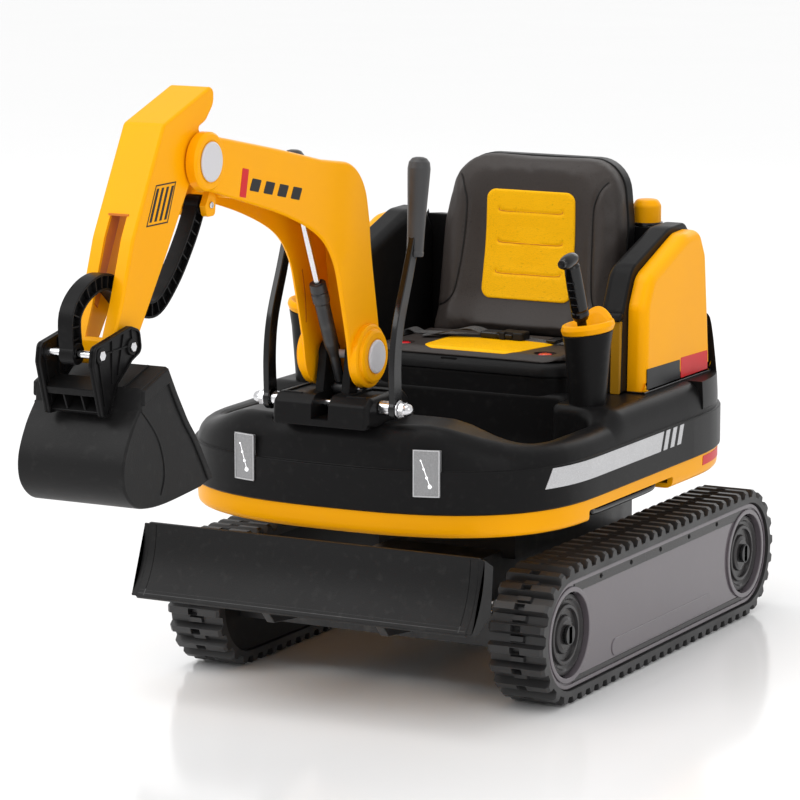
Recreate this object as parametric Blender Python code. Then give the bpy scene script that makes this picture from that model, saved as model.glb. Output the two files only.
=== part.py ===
"""Ride-on toy excavator with rubber tracks, a slewing upper body and a working digging arm.

Metres, +Z up. The machine faces -Y, and its left side is +X. Shapes are written in machine
coordinates, whose Y runs back from a point under the seat's front. MIDDLE moves them so that
the origin is the centre of the whole object's footprint, on the ground.
"""
import math

import bmesh
import bpy
from mathutils import Matrix, Vector

# Driving dimensions
FRONT_REACH = 0.9432
REAR_REACH = 0.4885
MIDDLE = (FRONT_REACH - REAR_REACH) / 2
GAP = 0.0003
LEFT, RIGHT = 1, -1
SIDES = (("left", LEFT), ("right", RIGHT))

# Tracks
TRACK_OUT = 0.28
TRACK_IN = 0.2003
HUB_Z = 0.0915
HUB_FRONT = -0.178
HUB_REAR = 0.397
TREAD_TIP = 0.0915
TREAD_ROOT = 0.081
BELT_INSIDE = 0.073
TREAD_BARS = 64
WHEEL_RADIUS = 0.0712
HUB_RADIUS = 0.0535
AXLE_RADIUS = 0.008
CHASSIS_WALL = 0.003

# Slewing
SLEW_Y = 0.11
TURNTABLE_Z = 0.1953

# Upper body
TRAY_BOTTOM = 0.231
TRAY_TOP = 0.262
HULL_HALF_WIDTH = 0.282
HULL_FRONT = -0.338
HULL_REAR = 0.435
HULL_WALL = 0.005
CREASE_Z = 0.318
HOOD_Z = 0.374
DECK_Z = 0.344
REAR_DECK_Z = 0.3625
REAR_DECK_TOP = REAR_DECK_Z + GAP
WELL_FLOOR = 0.285
WELL_HALF = 0.236
HOOD_REAR = -0.232

# Digging arm pivots, as (y, z)
BOOM_PIVOT = (-0.288, 0.456)
ARM_PIVOT = (-0.69, 0.747)
BUCKET_PIVOT = (-0.863, 0.549)
LINK_PIN = (-0.930, 0.548)
LINK_TOP = (-0.652, 0.690)
STRUT_FOOT = (-0.290, 0.412)
STRUT_TOP = (-0.401, 0.665)
STRUT_LIP = (-0.354, 0.557)
BOOM_HALF = 0.0355
ARM_HALF = 0.0285
BRACKET_HALF = 0.040
BUCKET_HALF = 0.0725
SHELL = 0.004
PIN_RADIUS = 0.006
PIN_WAIST = 0.005
PIN_BORE = 0.0063

# Levers, joysticks, blade
LEVER_PIVOT = (-0.314, 0.395)
LEVER_X = 0.092
STICK_PIVOT = (0.001, 0.468)
STICK_X = 0.2045
POD_X = 0.209
BUTTON_X = 0.109
BUTTON_Y = 0.086
BLADE_PIVOT = (-0.226, 0.105)

MATERIALS = {
    "yellow_plastic": ((0.93, 0.45, 0.01), 0.35, 0.0),
    "black_plastic": ((0.02, 0.02, 0.022), 0.4, 0.0),
    "grey_plastic": ((0.07, 0.065, 0.07), 0.3, 0.0),
    "track_rubber": ((0.025, 0.025, 0.027), 0.6, 0.0),
    "seat_vinyl": ((0.045, 0.038, 0.036), 0.5, 0.0),
    "grip_rubber": ((0.06, 0.06, 0.062), 0.7, 0.0),
    "belt_webbing": ((0.03, 0.03, 0.032), 0.8, 0.0),
    "black_steel": ((0.03, 0.03, 0.032), 0.45, 0.8),
    "bright_steel": ((0.75, 0.75, 0.76), 0.2, 1.0),
    "button_red": ((0.7, 0.02, 0.03), 0.3, 0.0),
}

# Bodies: name, parent body, joint axis point in machine coordinates
BODIES = [
    ("root", None, (0, 0, 0)),
    ("wheel_front_left", "root", (0, HUB_FRONT, HUB_Z)),
    ("wheel_rear_left", "root", (0, HUB_REAR, HUB_Z)),
    ("wheel_front_right", "root", (0, HUB_FRONT, HUB_Z)),
    ("wheel_rear_right", "root", (0, HUB_REAR, HUB_Z)),
    ("blade", "root", (0, *BLADE_PIVOT)),
    ("upper", "root", (0, SLEW_Y, TURNTABLE_Z)),
    ("boom", "upper", (0, *BOOM_PIVOT)),
    ("strut_tube", "upper", (0, *STRUT_FOOT)),
    ("strut_rod", "strut_tube", (0, *STRUT_TOP)),
    ("arm", "boom", (0, *ARM_PIVOT)),
    ("bucket", "arm", (0, *BUCKET_PIVOT)),
    ("link", "bucket", (0, *LINK_PIN)),
    ("lever_left", "upper", (0, *LEVER_PIVOT)),
    ("lever_right", "upper", (0, *LEVER_PIVOT)),
    ("joystick_left", "upper", (STICK_X, *STICK_PIVOT)),
    ("joystick_right", "upper", (-STICK_X, *STICK_PIVOT)),
    ("button_left", "upper", (BUTTON_X, BUTTON_Y, 0.407)),
    ("button_right", "upper", (-BUTTON_X, BUTTON_Y, 0.407)),
]


# ---------------------------------------------------------------- helpers

def clear_scene():
    for old in list(bpy.data.objects):
        bpy.data.objects.remove(old)


def make_material(name):
    colour, roughness, metallic = MATERIALS[name]
    material = bpy.data.materials.new(name)
    material.use_nodes = True
    shader = material.node_tree.nodes["Principled BSDF"]
    shader.inputs["Base Color"].default_value = (*colour, 1.0)
    shader.inputs["Roughness"].default_value = roughness
    shader.inputs["Metallic"].default_value = metallic
    material.diffuse_color = (*colour, 1.0)
    return material


def make_bodies():
    empties = {}
    points = {}
    for name, parent, point in BODIES:
        empty = bpy.data.objects.new("axis_" + name, None)
        bpy.context.collection.objects.link(empty)
        points[name] = Vector(point)
        if parent is None:
            empty.location = Vector((0, MIDDLE, 0)) + points[name]
        else:
            empty.parent = empties[parent]
            empty.location = points[name] - points[parent]
        empties[name] = empty
    return empties, points


def from_bmesh(name, shape):
    bmesh.ops.recalc_face_normals(shape, faces=shape.faces)
    mesh = bpy.data.meshes.new(name)
    shape.to_mesh(mesh)
    shape.free()
    thing = bpy.data.objects.new(name, mesh)
    bpy.context.collection.objects.link(thing)
    return thing


def lay(axis, u, v, along):
    """A point from an outline (u, v) and a distance along the named axis."""
    if axis == "x":
        return (along, u, v)
    if axis == "y":
        return (u, along, v)
    return (u, v, along)


def prism(name, outline, axis, low, high):
    """The outline, in the two other axes, extruded from low to high."""
    shape = bmesh.new()
    near = [shape.verts.new(lay(axis, u, v, low)) for u, v in outline]
    far = [shape.verts.new(lay(axis, u, v, high)) for u, v in outline]
    shape.faces.new(near)
    shape.faces.new(reversed(far))
    for i in range(len(outline)):
        j = (i + 1) % len(outline)
        shape.faces.new((near[i], near[j], far[j], far[i]))
    return from_bmesh(name, shape)


def stacked(name, levels):
    """A solid through (outline, z) levels whose outlines have the same number of points."""
    shape = bmesh.new()
    rings = [[shape.verts.new((x, y, z)) for x, y in outline] for outline, z in levels]
    shape.faces.new(rings[0])
    shape.faces.new(reversed(rings[-1]))
    for low, high in zip(rings, rings[1:]):
        for i in range(len(low)):
            j = (i + 1) % len(low)
            shape.faces.new((low[i], low[j], high[j], high[i]))
    return from_bmesh(name, shape)


def block(name, x, y, z):
    """A box from three (low, high) pairs."""
    outline = [(y[0], z[0]), (y[1], z[0]), (y[1], z[1]), (y[0], z[1])]
    return prism(name, outline, "x", x[0], x[1])


def turned(name, profile, axis, centre, segments):
    """A closed (radius, along) profile turned about an axis through centre."""
    shape = bmesh.new()
    rings = []
    for radius, along in profile:
        if radius == 0:
            rings.append([shape.verts.new(lay(axis, *centre, along))])
            continue
        ring = []
        for k in range(segments):
            turn = 2 * math.pi * k / segments
            u = centre[0] + radius * math.cos(turn)
            v = centre[1] + radius * math.sin(turn)
            ring.append(shape.verts.new(lay(axis, u, v, along)))
        rings.append(ring)
    for i, ring in enumerate(rings):
        after = rings[(i + 1) % len(rings)]
        if len(ring) == 1 and len(after) == 1:
            continue
        for k in range(segments):
            n = (k + 1) % segments
            if len(ring) == 1:
                shape.faces.new((ring[0], after[k], after[n]))
            elif len(after) == 1:
                shape.faces.new((ring[n], ring[k], after[0]))
            else:
                shape.faces.new((ring[k], after[k], after[n], ring[n]))
    return from_bmesh(name, shape)


def rod(name, axis, centre, radius, low, high, segments=16):
    profile = [(0, low), (radius, low), (radius, high), (0, high)]
    return turned(name, profile, axis, centre, segments)


def boolean(thing, other, operation):
    """Cuts or joins another object into this one, and removes the other."""
    modifier = thing.modifiers.new(operation.lower(), "BOOLEAN")
    modifier.operation = operation
    modifier.object = other
    modifier.solver = "EXACT"
    graph = bpy.context.evaluated_depsgraph_get()
    result = bpy.data.meshes.new_from_object(thing.evaluated_get(graph))
    thing.modifiers.clear()
    thing.data = result
    bpy.data.objects.remove(other)
    return thing


def cut(thing, *others):
    for other in others:
        boolean(thing, other, "DIFFERENCE")
    return thing


def join(thing, *others):
    for other in others:
        boolean(thing, other, "UNION")
    return thing


def arc(centre, radius, start, end, steps):
    """Points on an arc from start to end degrees."""
    points = []
    for k in range(steps + 1):
        turn = math.radians(start + (end - start) * k / steps)
        points.append((centre[0] + radius * math.cos(turn), centre[1] + radius * math.sin(turn)))
    return points


def smooth_path(knots, steps):
    """A Catmull-Rom curve through the knots."""
    path = []
    padded = [knots[0], *knots, knots[-1]]
    for i in range(len(knots) - 1):
        p0, p1, p2, p3 = (Vector(p) for p in padded[i:i + 4])
        for k in range(steps):
            t = k / steps
            point = 0.5 * (2 * p1 + (p2 - p0) * t + (2 * p0 - 5 * p1 + 4 * p2 - p3) * t * t
                           + (3 * p1 - p0 - 3 * p2 + p3) * t * t * t)
            path.append(tuple(point))
    path.append(tuple(knots[-1]))
    return path


def ribbon(path, half_widths):
    """The outline of a strip along a 2-D path, wide as given at each point."""
    one = []
    two = []
    for i, point in enumerate(path):
        before = Vector(path[max(i - 1, 0)])
        after = Vector(path[min(i + 1, len(path) - 1)])
        along = (after - before).normalized()
        across = Vector((-along.y, along.x)) * half_widths[i]
        one.append(tuple(Vector(point) + across))
        two.append(tuple(Vector(point) - across))
    return one + two[::-1]


def shade_round(thing):
    thing.data.shade_smooth()
    thing.data.set_sharp_from_angle(angle=math.radians(35))
    return thing


class Model:
    """Puts each finished sub-part on its body, with its material."""

    def __init__(self):
        self.empties, self.points = make_bodies()
        self.materials = {name: make_material(name) for name in MATERIALS}

    def add(self, thing, body, material):
        thing.data.transform(Matrix.Translation(-self.points[body]))
        thing.parent = self.empties[body]
        thing.data.materials.clear()
        thing.data.materials.append(self.materials[material])
        shade_round(thing)
        return thing


# ---------------------------------------------------------------- undercarriage

def racetrack(radius, steps=12):
    """The outline around both hubs at this radius."""
    front = arc((HUB_FRONT, HUB_Z), radius, 90, 270, steps)
    rear = arc((HUB_REAR, HUB_Z), radius, 270, 450, steps)
    return front + rear


def belt_point(distance, height):
    """A point this far round the belt, and this high above the tread's root."""
    span = HUB_REAR - HUB_FRONT
    half_turn = math.pi * TREAD_ROOT
    distance %= 2 * (span + half_turn)
    radius = TREAD_ROOT + height
    if distance < span:
        return (HUB_REAR - distance, HUB_Z + radius)
    distance -= span
    if distance < half_turn:
        turn = math.pi / 2 + distance / TREAD_ROOT
        return (HUB_FRONT + radius * math.cos(turn), HUB_Z + radius * math.sin(turn))
    distance -= half_turn
    if distance < span:
        return (HUB_FRONT + distance, HUB_Z - radius)
    turn = -math.pi / 2 + (distance - span) / TREAD_ROOT
    return (HUB_REAR + radius * math.cos(turn), HUB_Z + radius * math.sin(turn))


def make_track_belt(name, side):
    pitch = 2 * (HUB_REAR - HUB_FRONT + math.pi * TREAD_ROOT) / TREAD_BARS
    height = TREAD_TIP - TREAD_ROOT
    outline = []
    for bar in range(TREAD_BARS):
        start = bar * pitch
        outline.append(belt_point(start + 0.02 * pitch, 0))
        outline.append(belt_point(start + 0.14 * pitch, height))
        outline.append(belt_point(start + 0.46 * pitch, height))
        outline.append(belt_point(start + 0.58 * pitch, 0))
    ends = sorted((side * TRACK_IN, side * TRACK_OUT))
    belt = prism(name, outline, "x", *ends)
    inside = prism("inside", racetrack(BELT_INSIDE), "x", ends[0] - 0.01, ends[1] + 0.01)
    return cut(belt, inside)


def make_track_guard(name, side):
    """The outer plate, with a round window at each hub."""
    ends = sorted((side * 0.2655, side * 0.2765))
    plate = prism(name, racetrack(BELT_INSIDE - 0.0008), "x", *ends)
    for y in (HUB_FRONT, HUB_REAR):
        window = rod("window", "x", (y, HUB_Z), HUB_RADIUS + 0.003, ends[0] - 0.01, ends[1] + 0.01, 24)
        cut(plate, window)
    return plate


def make_track_frame(name, side):
    """The inner plate and the beam between the wheels that the outer plate is screwed to."""
    ends = sorted((side * 0.2045, side * 0.2125))
    plate = prism(name, racetrack(BELT_INSIDE - 0.0008), "x", *ends)
    across = sorted((side * 0.211, side * 0.2652))
    join(plate, block("beam", across, (-0.09, 0.31), (0.058, 0.128)))
    for y in (HUB_FRONT, HUB_REAR):
        bore = rod("bore", "x", (y, HUB_Z), AXLE_RADIUS + GAP, ends[0] - 0.01, ends[1] + 0.01)
        cut(plate, bore)
    return plate


def make_track_wheel(name, side, y):
    """A wheel inside the belt, dished from its inner side, whose hub shows in the guard's window."""
    bore = AXLE_RADIUS + GAP
    profile = [(bore + 0.006, 0.2165), (bore + 0.006, 0.2655), (HUB_RADIUS - 0.004, 0.2655),
               (HUB_RADIUS - 0.004, 0.2575), (WHEEL_RADIUS - 0.004, 0.2575), (WHEEL_RADIUS - 0.004, 0.2165),
               (WHEEL_RADIUS, 0.2165), (WHEEL_RADIUS, 0.2615), (HUB_RADIUS, 0.2615), (HUB_RADIUS, 0.2705),
               (bore, 0.2705), (bore, 0.2165)]
    profile = [(radius, side * along) for radius, along in profile]
    return turned(name, profile, "x", (y, HUB_Z), 28)


def make_axle(name, y):
    """A through axle with a round nut at each end."""
    half = [(0, 0.2768), (0.013, 0.2768), (0.013, 0.2708), (AXLE_RADIUS, 0.2708)]
    profile = half + [(radius, -along) for radius, along in half[::-1]]
    return turned(name, profile, "x", (y, HUB_Z), 20)


def chassis_solid(name, wall, bottom_drop):
    """The chassis beams and the slewing tower, drawn in by a wall on every side but the bottom."""
    solid = block(name, (-0.085 + wall, 0.085 - wall), (-0.205 + wall, 0.425 - wall),
                  (0.085 - bottom_drop, 0.150 - wall))
    front = block("front_beam", (-0.2042 + wall, 0.2042 - wall), (-0.205 + wall, -0.150 - wall),
                  (0.070 - bottom_drop, 0.114 - wall))
    rear = block("rear_beam", (-0.135 + wall, 0.135 - wall), (0.370 + wall, 0.425 - wall),
                 (0.070 - bottom_drop, 0.114 - wall))
    tower = block("tower", (-0.105 + wall, 0.105 - wall), (0.005 + wall, 0.215 - wall),
                  (0.140 + wall, TURNTABLE_Z - GAP - wall))
    return join(solid, front, rear, tower)


def make_chassis():
    """A folded frame, open below, with lugs for the blade in front."""
    frame = chassis_solid("chassis_frame", 0, 0)
    cut(frame, chassis_solid("inside", CHASSIS_WALL, 0.05))
    for side in (LEFT, RIGHT):
        ends = sorted((side * 0.066, side * 0.078))
        eye = arc(BLADE_PIVOT, 0.017, 90, 270, 8)
        lug = prism("lug", eye + [(-0.19, 0.088), (-0.19, 0.122)], "x", *ends)
        join(frame, lug)
    for y in (HUB_FRONT, HUB_REAR):
        cut(frame, rod("bore", "x", (y, HUB_Z), AXLE_RADIUS + GAP, -0.3, 0.3))
    cut(frame, rod("blade_bore", "x", BLADE_PIVOT, PIN_BORE, -0.1, 0.1))
    return frame


def make_drive_unit(name, side):
    """The geared motor on the rear axle, with its motor lying forward."""
    ends = sorted((side * 0.1356, side * 0.2041))
    unit = block(name, ends, (0.352, 0.445), (0.052, 0.140))
    join(unit, rod("motor", "y", (side * 0.17, 0.112), 0.0215, 0.262, 0.36, 20))
    cut(unit, rod("bore", "x", (HUB_REAR, HUB_Z), AXLE_RADIUS + GAP, -0.3, 0.3))
    return unit


def make_turntable(name, low, high):
    profile = [(0.058, low), (0.098, low), (0.098, high), (0.058, high)]
    return turned(name, profile, "z", (0, SLEW_Y), 40)


def make_blade():
    """A leaning curved mouldboard with a folded end plate each side."""
    face = arc((-0.497, 0.222), 0.123, -45, 2, 6)
    back = arc((-0.497, 0.222), 0.129, 2, -45, 6)
    blade = prism("blade", face + back, "x", -0.2445, 0.2445)
    for side in (LEFT, RIGHT):
        ends = sorted((side * 0.2435, side * 0.2495))
        front = arc((-0.497, 0.222), 0.125, -45, 2, 6)
        cheek = prism("cheek", front + [(-0.345, 0.212), (-0.352, 0.150), (-0.392, 0.131)], "x", *ends)
        join(blade, cheek)
    return blade


def make_blade_arm(name, side):
    """The arm from the chassis lug to the back of the blade, with its pin."""
    ends = sorted((side * 0.0785, side * 0.0905))
    eye = arc(BLADE_PIVOT, 0.015, -90, 90, 8)
    outline = eye + [(-0.300, 0.130), (-0.366, 0.205), (-0.381, 0.155), (-0.330, 0.100)]
    arm = prism(name, outline, "x", *ends)
    join(arm, rod("pin", "x", BLADE_PIVOT, PIN_RADIUS, *sorted((side * 0.064, side * 0.088)), 14))
    return arm


# ---------------------------------------------------------------- upper body

def hull_outline(inset, steps=10):
    """The body's plan: a bowed front and rounded rear corners."""
    half = HULL_HALF_WIDTH - inset
    corners = ((-0.10, -0.10 - HULL_FRONT - inset, 2.6, 180), (0.20, HULL_REAR - 0.20 - inset, 2.9, 0))
    points = []
    for middle, reach, power, start in corners:
        for k in range(2 * steps + 1):
            turn = math.radians(start + 180 * k / (2 * steps))
            c = math.cos(turn)
            s = math.sin(turn)
            x = half * math.copysign(abs(c) ** (2 / power), c)
            y = middle + reach * math.copysign(abs(s) ** (2 / power), s)
            points.append((x, y))
    return points


def hull_solid(name, inset, drop, bottom):
    """The body's plan with a tapering shoulder, a crowned hood in front and a raised rear deck."""
    shoulder = [(0, bottom), (0, CREASE_Z - drop), (0.014, 0.333 - drop), (0.030, DECK_Z - drop)]
    solid = stacked(name, [(hull_outline(inset + taper), z) for taper, z in shoulder])
    crown = [(-0.26, 0.30), (-0.26, 0.335 - drop), (-0.225, 0.352 - drop), (-0.14, HOOD_Z - drop),
             (0.14, HOOD_Z - drop), (0.225, 0.352 - drop), (0.26, 0.335 - drop), (0.26, 0.30)]
    hood = prism("hood", crown, "y", -0.40, HOOD_REAR - drop)
    plan = [(hull_outline(inset + 0.003), 0.29), (hull_outline(inset + 0.013), 0.335 - drop),
            (hull_outline(inset + 0.018), 0.39)]
    boolean(hood, stacked("plan", plan), "INTERSECT")
    rise = [(-0.052 + drop, 0.30), (-0.052 + drop, DECK_Z - drop), (-0.017 + drop, REAR_DECK_Z - drop),
            (0.50, REAR_DECK_Z - drop), (0.50, 0.30)]
    deck = prism("rear_deck", rise, "x", -0.30, 0.30)
    plan = [(hull_outline(inset + 0.029), 0.29), (hull_outline(inset + 0.034), 0.38)]
    boolean(deck, stacked("plan", plan), "INTERSECT")
    return join(solid, hood, deck)


def rounded_box(half_x, y, radius, steps=4):
    corners = ((half_x - radius, y[1] - radius, 0), (-half_x + radius, y[1] - radius, 90),
               (-half_x + radius, y[0] + radius, 180), (half_x - radius, y[0] + radius, 270))
    points = []
    for cx, cy, start in corners:
        points += arc((cx, cy), radius, start, start + 90, steps)
    return points


def well_solid(name, grow, low, high):
    """The foot well's room: wide in front, and narrower where it meets the seat box."""
    wide = rounded_box(WELL_HALF + grow, (HOOD_REAR + 0.007 - grow, -0.018 + grow), 0.055)
    room = prism(name, wide, "z", low, high)
    narrow = rounded_box(0.165 + grow, (-0.10, 0.052 + grow), 0.03)
    return join(room, prism("neck", narrow, "z", low, high))


def make_hull():
    """The body shell, open below, with the foot well let into it."""
    hull = hull_solid("hull", 0, 0, TRAY_TOP + GAP)
    cut(hull, hull_solid("inside", HULL_WALL, HULL_WALL, TRAY_TOP - 0.05))
    walls = well_solid("walls", 0.004, WELL_FLOOR - 0.004, 0.45)
    boolean(walls, hull_solid("limit", 0.001, 0.001, 0.25), "INTERSECT")
    return cut(join(hull, walls), well_solid("well", 0, WELL_FLOOR, 0.45))


def make_tray():
    """The yellow floor tray whose edge shows below the body, notched each side for a handle."""
    tray = prism("base_tray", hull_outline(0.004), "z", TRAY_BOTTOM, TRAY_TOP)
    cut(tray, prism("pocket", hull_outline(0.012), "z", TRAY_BOTTOM + 0.006, TRAY_TOP + 0.05))
    for side in (LEFT, RIGHT):
        ends = sorted((side * 0.235, side * 0.30))
        cut(tray, block("notch", ends, (-0.12, 0.13), (0.20, 0.2475)))
    shelf = block("shelf_left", (0.229, 0.272), (-0.126, 0.136), (0.2475, 0.2525))
    other = block("shelf_right", (-0.272, -0.229), (-0.126, 0.136), (0.2475, 0.2525))
    join(tray, shelf, other)
    for side in (LEFT, RIGHT):
        ends = sorted((side * 0.229, side * 0.235))
        join(tray, block("step", ends, (-0.126, 0.136), (0.2315, 0.250)))
    cut(tray, rod("centre_hole", "z", (0, SLEW_Y), 0.05, 0.20, 0.30, 32))
    return tray


def make_grab_handle(name, side):
    """A slim bar under the notch in the tray's edge."""
    bar = rod(name, "y", (side * 0.262, 0.2375), 0.0055, -0.085, 0.095, 10)
    for y in (-0.080, 0.080):
        ends = sorted((side * 0.2565, side * 0.2675))
        join(bar, block("foot", ends, (y, y + 0.010), (0.2375, 0.2472)))
    return bar


PEDESTAL_Y = (0.0568, 0.320)
PEDESTAL_TOP = 0.402


def make_pedestal():
    """The seat box behind the foot well: an open-bottomed shell with two button holes."""
    box = prism("seat_pedestal", rounded_box(0.165, PEDESTAL_Y, 0.045), "z", REAR_DECK_TOP, PEDESTAL_TOP)
    inner = (PEDESTAL_Y[0] + 0.005, PEDESTAL_Y[1] - 0.005)
    cut(box, prism("inside", rounded_box(0.16, inner, 0.04), "z", 0.30, PEDESTAL_TOP - 0.005))
    cut(box, block("slot", (-0.022, 0.022), (0.05, 0.058), (0.388, 0.392)))
    for side in (LEFT, RIGHT):
        hole = rod("hole", "z", (side * BUTTON_X, BUTTON_Y), 0.0112, 0.38, 0.42, 20)
        cut(box, hole)
    return box


def make_button(name, side):
    """A cap over the hole, with a stem through it."""
    profile = [(0, 0.3995), (0.0085, 0.3995), (0.0085, 0.4062), (0.0108, 0.4062), (0.0108, 0.4092),
               (0.009, 0.4108), (0, 0.4112)]
    return turned(name, profile, "z", (side * BUTTON_X, BUTTON_Y), 20)


def make_seat_back():
    """A leaning pad with a bolster down each side."""
    half = 0.1415
    outline = [(-0.120, 0.4165), (0.120, 0.4165), (0.139, 0.445), (half, 0.56)]
    outline += arc((0.0855, 0.597), 0.056, 0, 90, 5) + arc((-0.0855, 0.597), 0.056, 90, 180, 5)
    outline += [(-half, 0.56), (-0.139, 0.445)]
    pad = prism("seat_back", outline, "y", 0.20, 0.40)
    lean = math.radians(10.5)
    slope = math.tan(lean)
    face = [(-0.15, 0.030), (-0.108, 0.028), (-0.078, 0.052), (0.078, 0.052), (0.108, 0.028),
            (0.15, 0.030), (0.15, 0.090), (-0.15, 0.090)]
    plan = prism("plan", face, "z", 0, 0.30)
    shear = Matrix.Identity(4)
    shear[1][2] = slope
    plan.data.transform(Matrix.Translation((0, 0.194, 0.40)) @ shear)
    return boolean(pad, plan, "INTERSECT")


def make_seat_cushion():
    outline = [(0.058, 0.4023), (0.060, 0.408), (0.070, 0.4125), (0.100, 0.4115), (0.150, 0.4090),
               (0.195, 0.4085), (0.2205, 0.4120), (0.2205, 0.4023)]
    cushion = prism("seat_cushion", outline, "x", -0.145, 0.145)
    plan = rounded_box(0.145, (0.055, 0.235), 0.03)
    cut_plan = prism("plan", plan, "z", 0.39, 0.46)
    boolean(cushion, cut_plan, "INTERSECT")
    for side in (LEFT, RIGHT):
        cut(cushion, rod("button_room", "z", (side * BUTTON_X, BUTTON_Y), 0.018, 0.38, 0.45, 20))
    return cushion


COVER_FRONT = [(0.108, REAR_DECK_TOP), (0.112, 0.46), (0.121, 0.503), (0.143, 0.527)]
COVER_TOP = [(0.250, 0.565), (0.284, 0.566), (0.306, 0.552), (0.316, 0.53)]


def make_armrest(name, side):
    """The black inner panel beside the seat, a little proud of the yellow cover."""
    outline = [(0.090, REAR_DECK_TOP), (0.097, 0.462), (0.109, 0.508), (0.134, 0.535), (0.248, 0.573),
               (0.290, 0.574), (0.3127, 0.558), (0.3217, 0.53), (0.3217, REAR_DECK_TOP)]
    armrest = prism(name, outline, "x", *sorted((side * 0.1830, side * 0.2202)))
    hollow = block("hollow", sorted((side * 0.1880, side * 0.23)), (0.120, 0.305), (0.37, 0.50))
    return cut(armrest, hollow)


def make_side_cover(name, side):
    outline = COVER_FRONT + COVER_TOP + [(0.335, REAR_DECK_TOP)]
    cover = prism(name, outline, "x", *sorted((side * 0.2205, side * 0.247)))
    hollow = block("hollow", sorted((side * 0.21, side * 0.2430)), (0.130, 0.305), (0.30, 0.49))
    return cut(cover, hollow)


def rear_skirt():
    """The flank round the hull's rear: it laps the hull's shoulder and rises behind the covers."""
    levels = [(0.0037, 0.3245), (0.0068, 0.378), (0.0120, 0.428), (0.0175, 0.444)]
    skirt = stacked("skirt", [(hull_outline(taper), z) for taper, z in levels])
    levels = [(-0.002, 0.3170), (0.0, 0.3187), (0.0136, 0.3337), (0.0284, 0.3446), (0.0284, 0.3629)]
    cut(skirt, stacked("hull_room", [(hull_outline(taper), z) for taper, z in levels]))
    levels = [(0.0105, 0.34), (0.0125, 0.378), (0.0225, 0.4385)]
    hollow = stacked("hollow", [(hull_outline(taper), z) for taper, z in levels])
    cut(hollow, block("front_wall", (-0.30, 0.30), (-0.40, 0.3395), (0.30, 0.50)))
    cut(skirt, hollow, block("front", (-0.30, 0.30), (-0.40, 0.2365), (0.30, 0.50)))
    return cut(skirt, block("cover_room", (-0.30, 0.30), (0.20, 0.3357), (0.3625, 0.50)))


def make_rear_housing():
    """The engine cover across the back, with a flank round each rear corner."""
    main = [(0.3227, REAR_DECK_TOP), (0.430, REAR_DECK_TOP), (0.424, 0.46), (0.400, 0.525), (0.365, 0.556),
            (0.3227, 0.560)]
    housing = prism("rear_housing", main, "x", -0.20, 0.20)
    join(housing, rear_skirt())
    inner = [(0.3295, 0.30), (0.421, 0.30), (0.414, 0.455), (0.392, 0.517), (0.362, 0.5465), (0.3295, 0.5505)]
    return cut(housing, prism("inside", inner, "x", -0.194, 0.194))


def make_exhaust():
    profile = [(0, 0.5605), (0.020, 0.5605), (0.020, 0.589), (0.015, 0.596), (0, 0.597)]
    return turned("exhaust_stub", profile, "z", (0.140, 0.346), 24)


def make_battery():
    return block("battery", (-0.075, 0.075), (0.165, 0.255), (0.2375, 0.335))


def make_pod(name, side):
    """The tapered cup that the joystick stands in."""
    profile = [(0, REAR_DECK_TOP), (0.025, REAR_DECK_TOP), (0.0335, 0.458), (0.0285, 0.458), (0.022, 0.40),
               (0, 0.40)]
    return turned(name, profile, "z", (side * POD_X, 0.0095), 24)


def make_collar(name, side):
    """The yellow funnel ring round the joystick."""
    profile = [(0.0185, 0.4585), (0.0340, 0.4585), (0.0340, 0.467), (0.0305, 0.470), (0.0235, 0.4665)]
    return turned(name, profile, "z", (side * POD_X, 0.0095), 28)


def make_joystick(name, side):
    """A forward-leaning grip with a thumb rest across its top."""
    x = side * STICK_X
    y, z = STICK_PIVOT
    grip = rod(name, "z", (x, y), 0.0112, z + 0.010, z + 0.095, 16)
    join(grip, rod("stem", "z", (x, y), 0.006, z - 0.019, z + 0.012, 12))
    join(grip, rod("ball", "z", (x, y), 0.0125, z + 0.005, z + 0.014, 16))
    lean = Matrix.Rotation(math.radians(21.5), 4, "X")
    pivot = Vector((x, y, z))
    grip.data.transform(Matrix.Translation(pivot) @ lean @ Matrix.Translation(-pivot))
    return join(grip, rod("thumb_rest", "y", (x, z + 0.0925), 0.0105, y - 0.066, y - 0.026, 16))


def make_lap_belt(name, side, tongue):
    """A flat strap lying over the cushion, with its metal-cased end."""
    knots = [(0.1545, 0.4055), (0.1530, 0.4125), (0.142, 0.4145), (0.09, 0.4120), (0.028, 0.4120)]
    path = smooth_path([(side * x, z) for x, z in knots], 3)
    strap = prism(name, ribbon(path, [0.0008] * len(path)), "y", 0.172, 0.197)
    ends = sorted((side * 0.030, side * (-0.002 if tongue else 0.006)))
    low = 0.4108 if tongue else 0.4106
    if tongue:
        join(strap, block("buckle", ends, (0.169, 0.200), (low, 0.4200)))
    return strap


def make_bracket():
    """The block that carries the boom: a box with two ears and a slot for the strut."""
    side_view = [(-0.349, HOOD_Z + GAP), (-0.233, HOOD_Z + GAP), (-0.236, 0.400), (-0.250, 0.4095),
                 (-0.335, 0.4095), (-0.347, 0.402)]
    bracket = prism("boom_bracket", side_view, "x", -0.070, 0.070)
    for side in (LEFT, RIGHT):
        eye = arc(BOOM_PIVOT, 0.019, 0, 180, 8)
        ear = prism("ear", eye + [(-0.316, 0.400), (-0.268, 0.400)], "x", *sorted((side * 0.013, side * 0.025)))
        join(bracket, ear)
    cut(bracket, block("slot", (-0.0125, 0.0125), (-0.36, -0.262), (0.379, 0.43)))
    cut(bracket, rod("lever_bore", "x", LEVER_PIVOT, PIN_BORE, -0.1, 0.1))
    cut(bracket, rod("boom_bore", "x", BOOM_PIVOT, PIN_BORE, -0.1, 0.1))
    cut(bracket, rod("strut_bore", "x", STRUT_FOOT, 0.0043, -0.1, 0.1))
    return bracket


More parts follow.
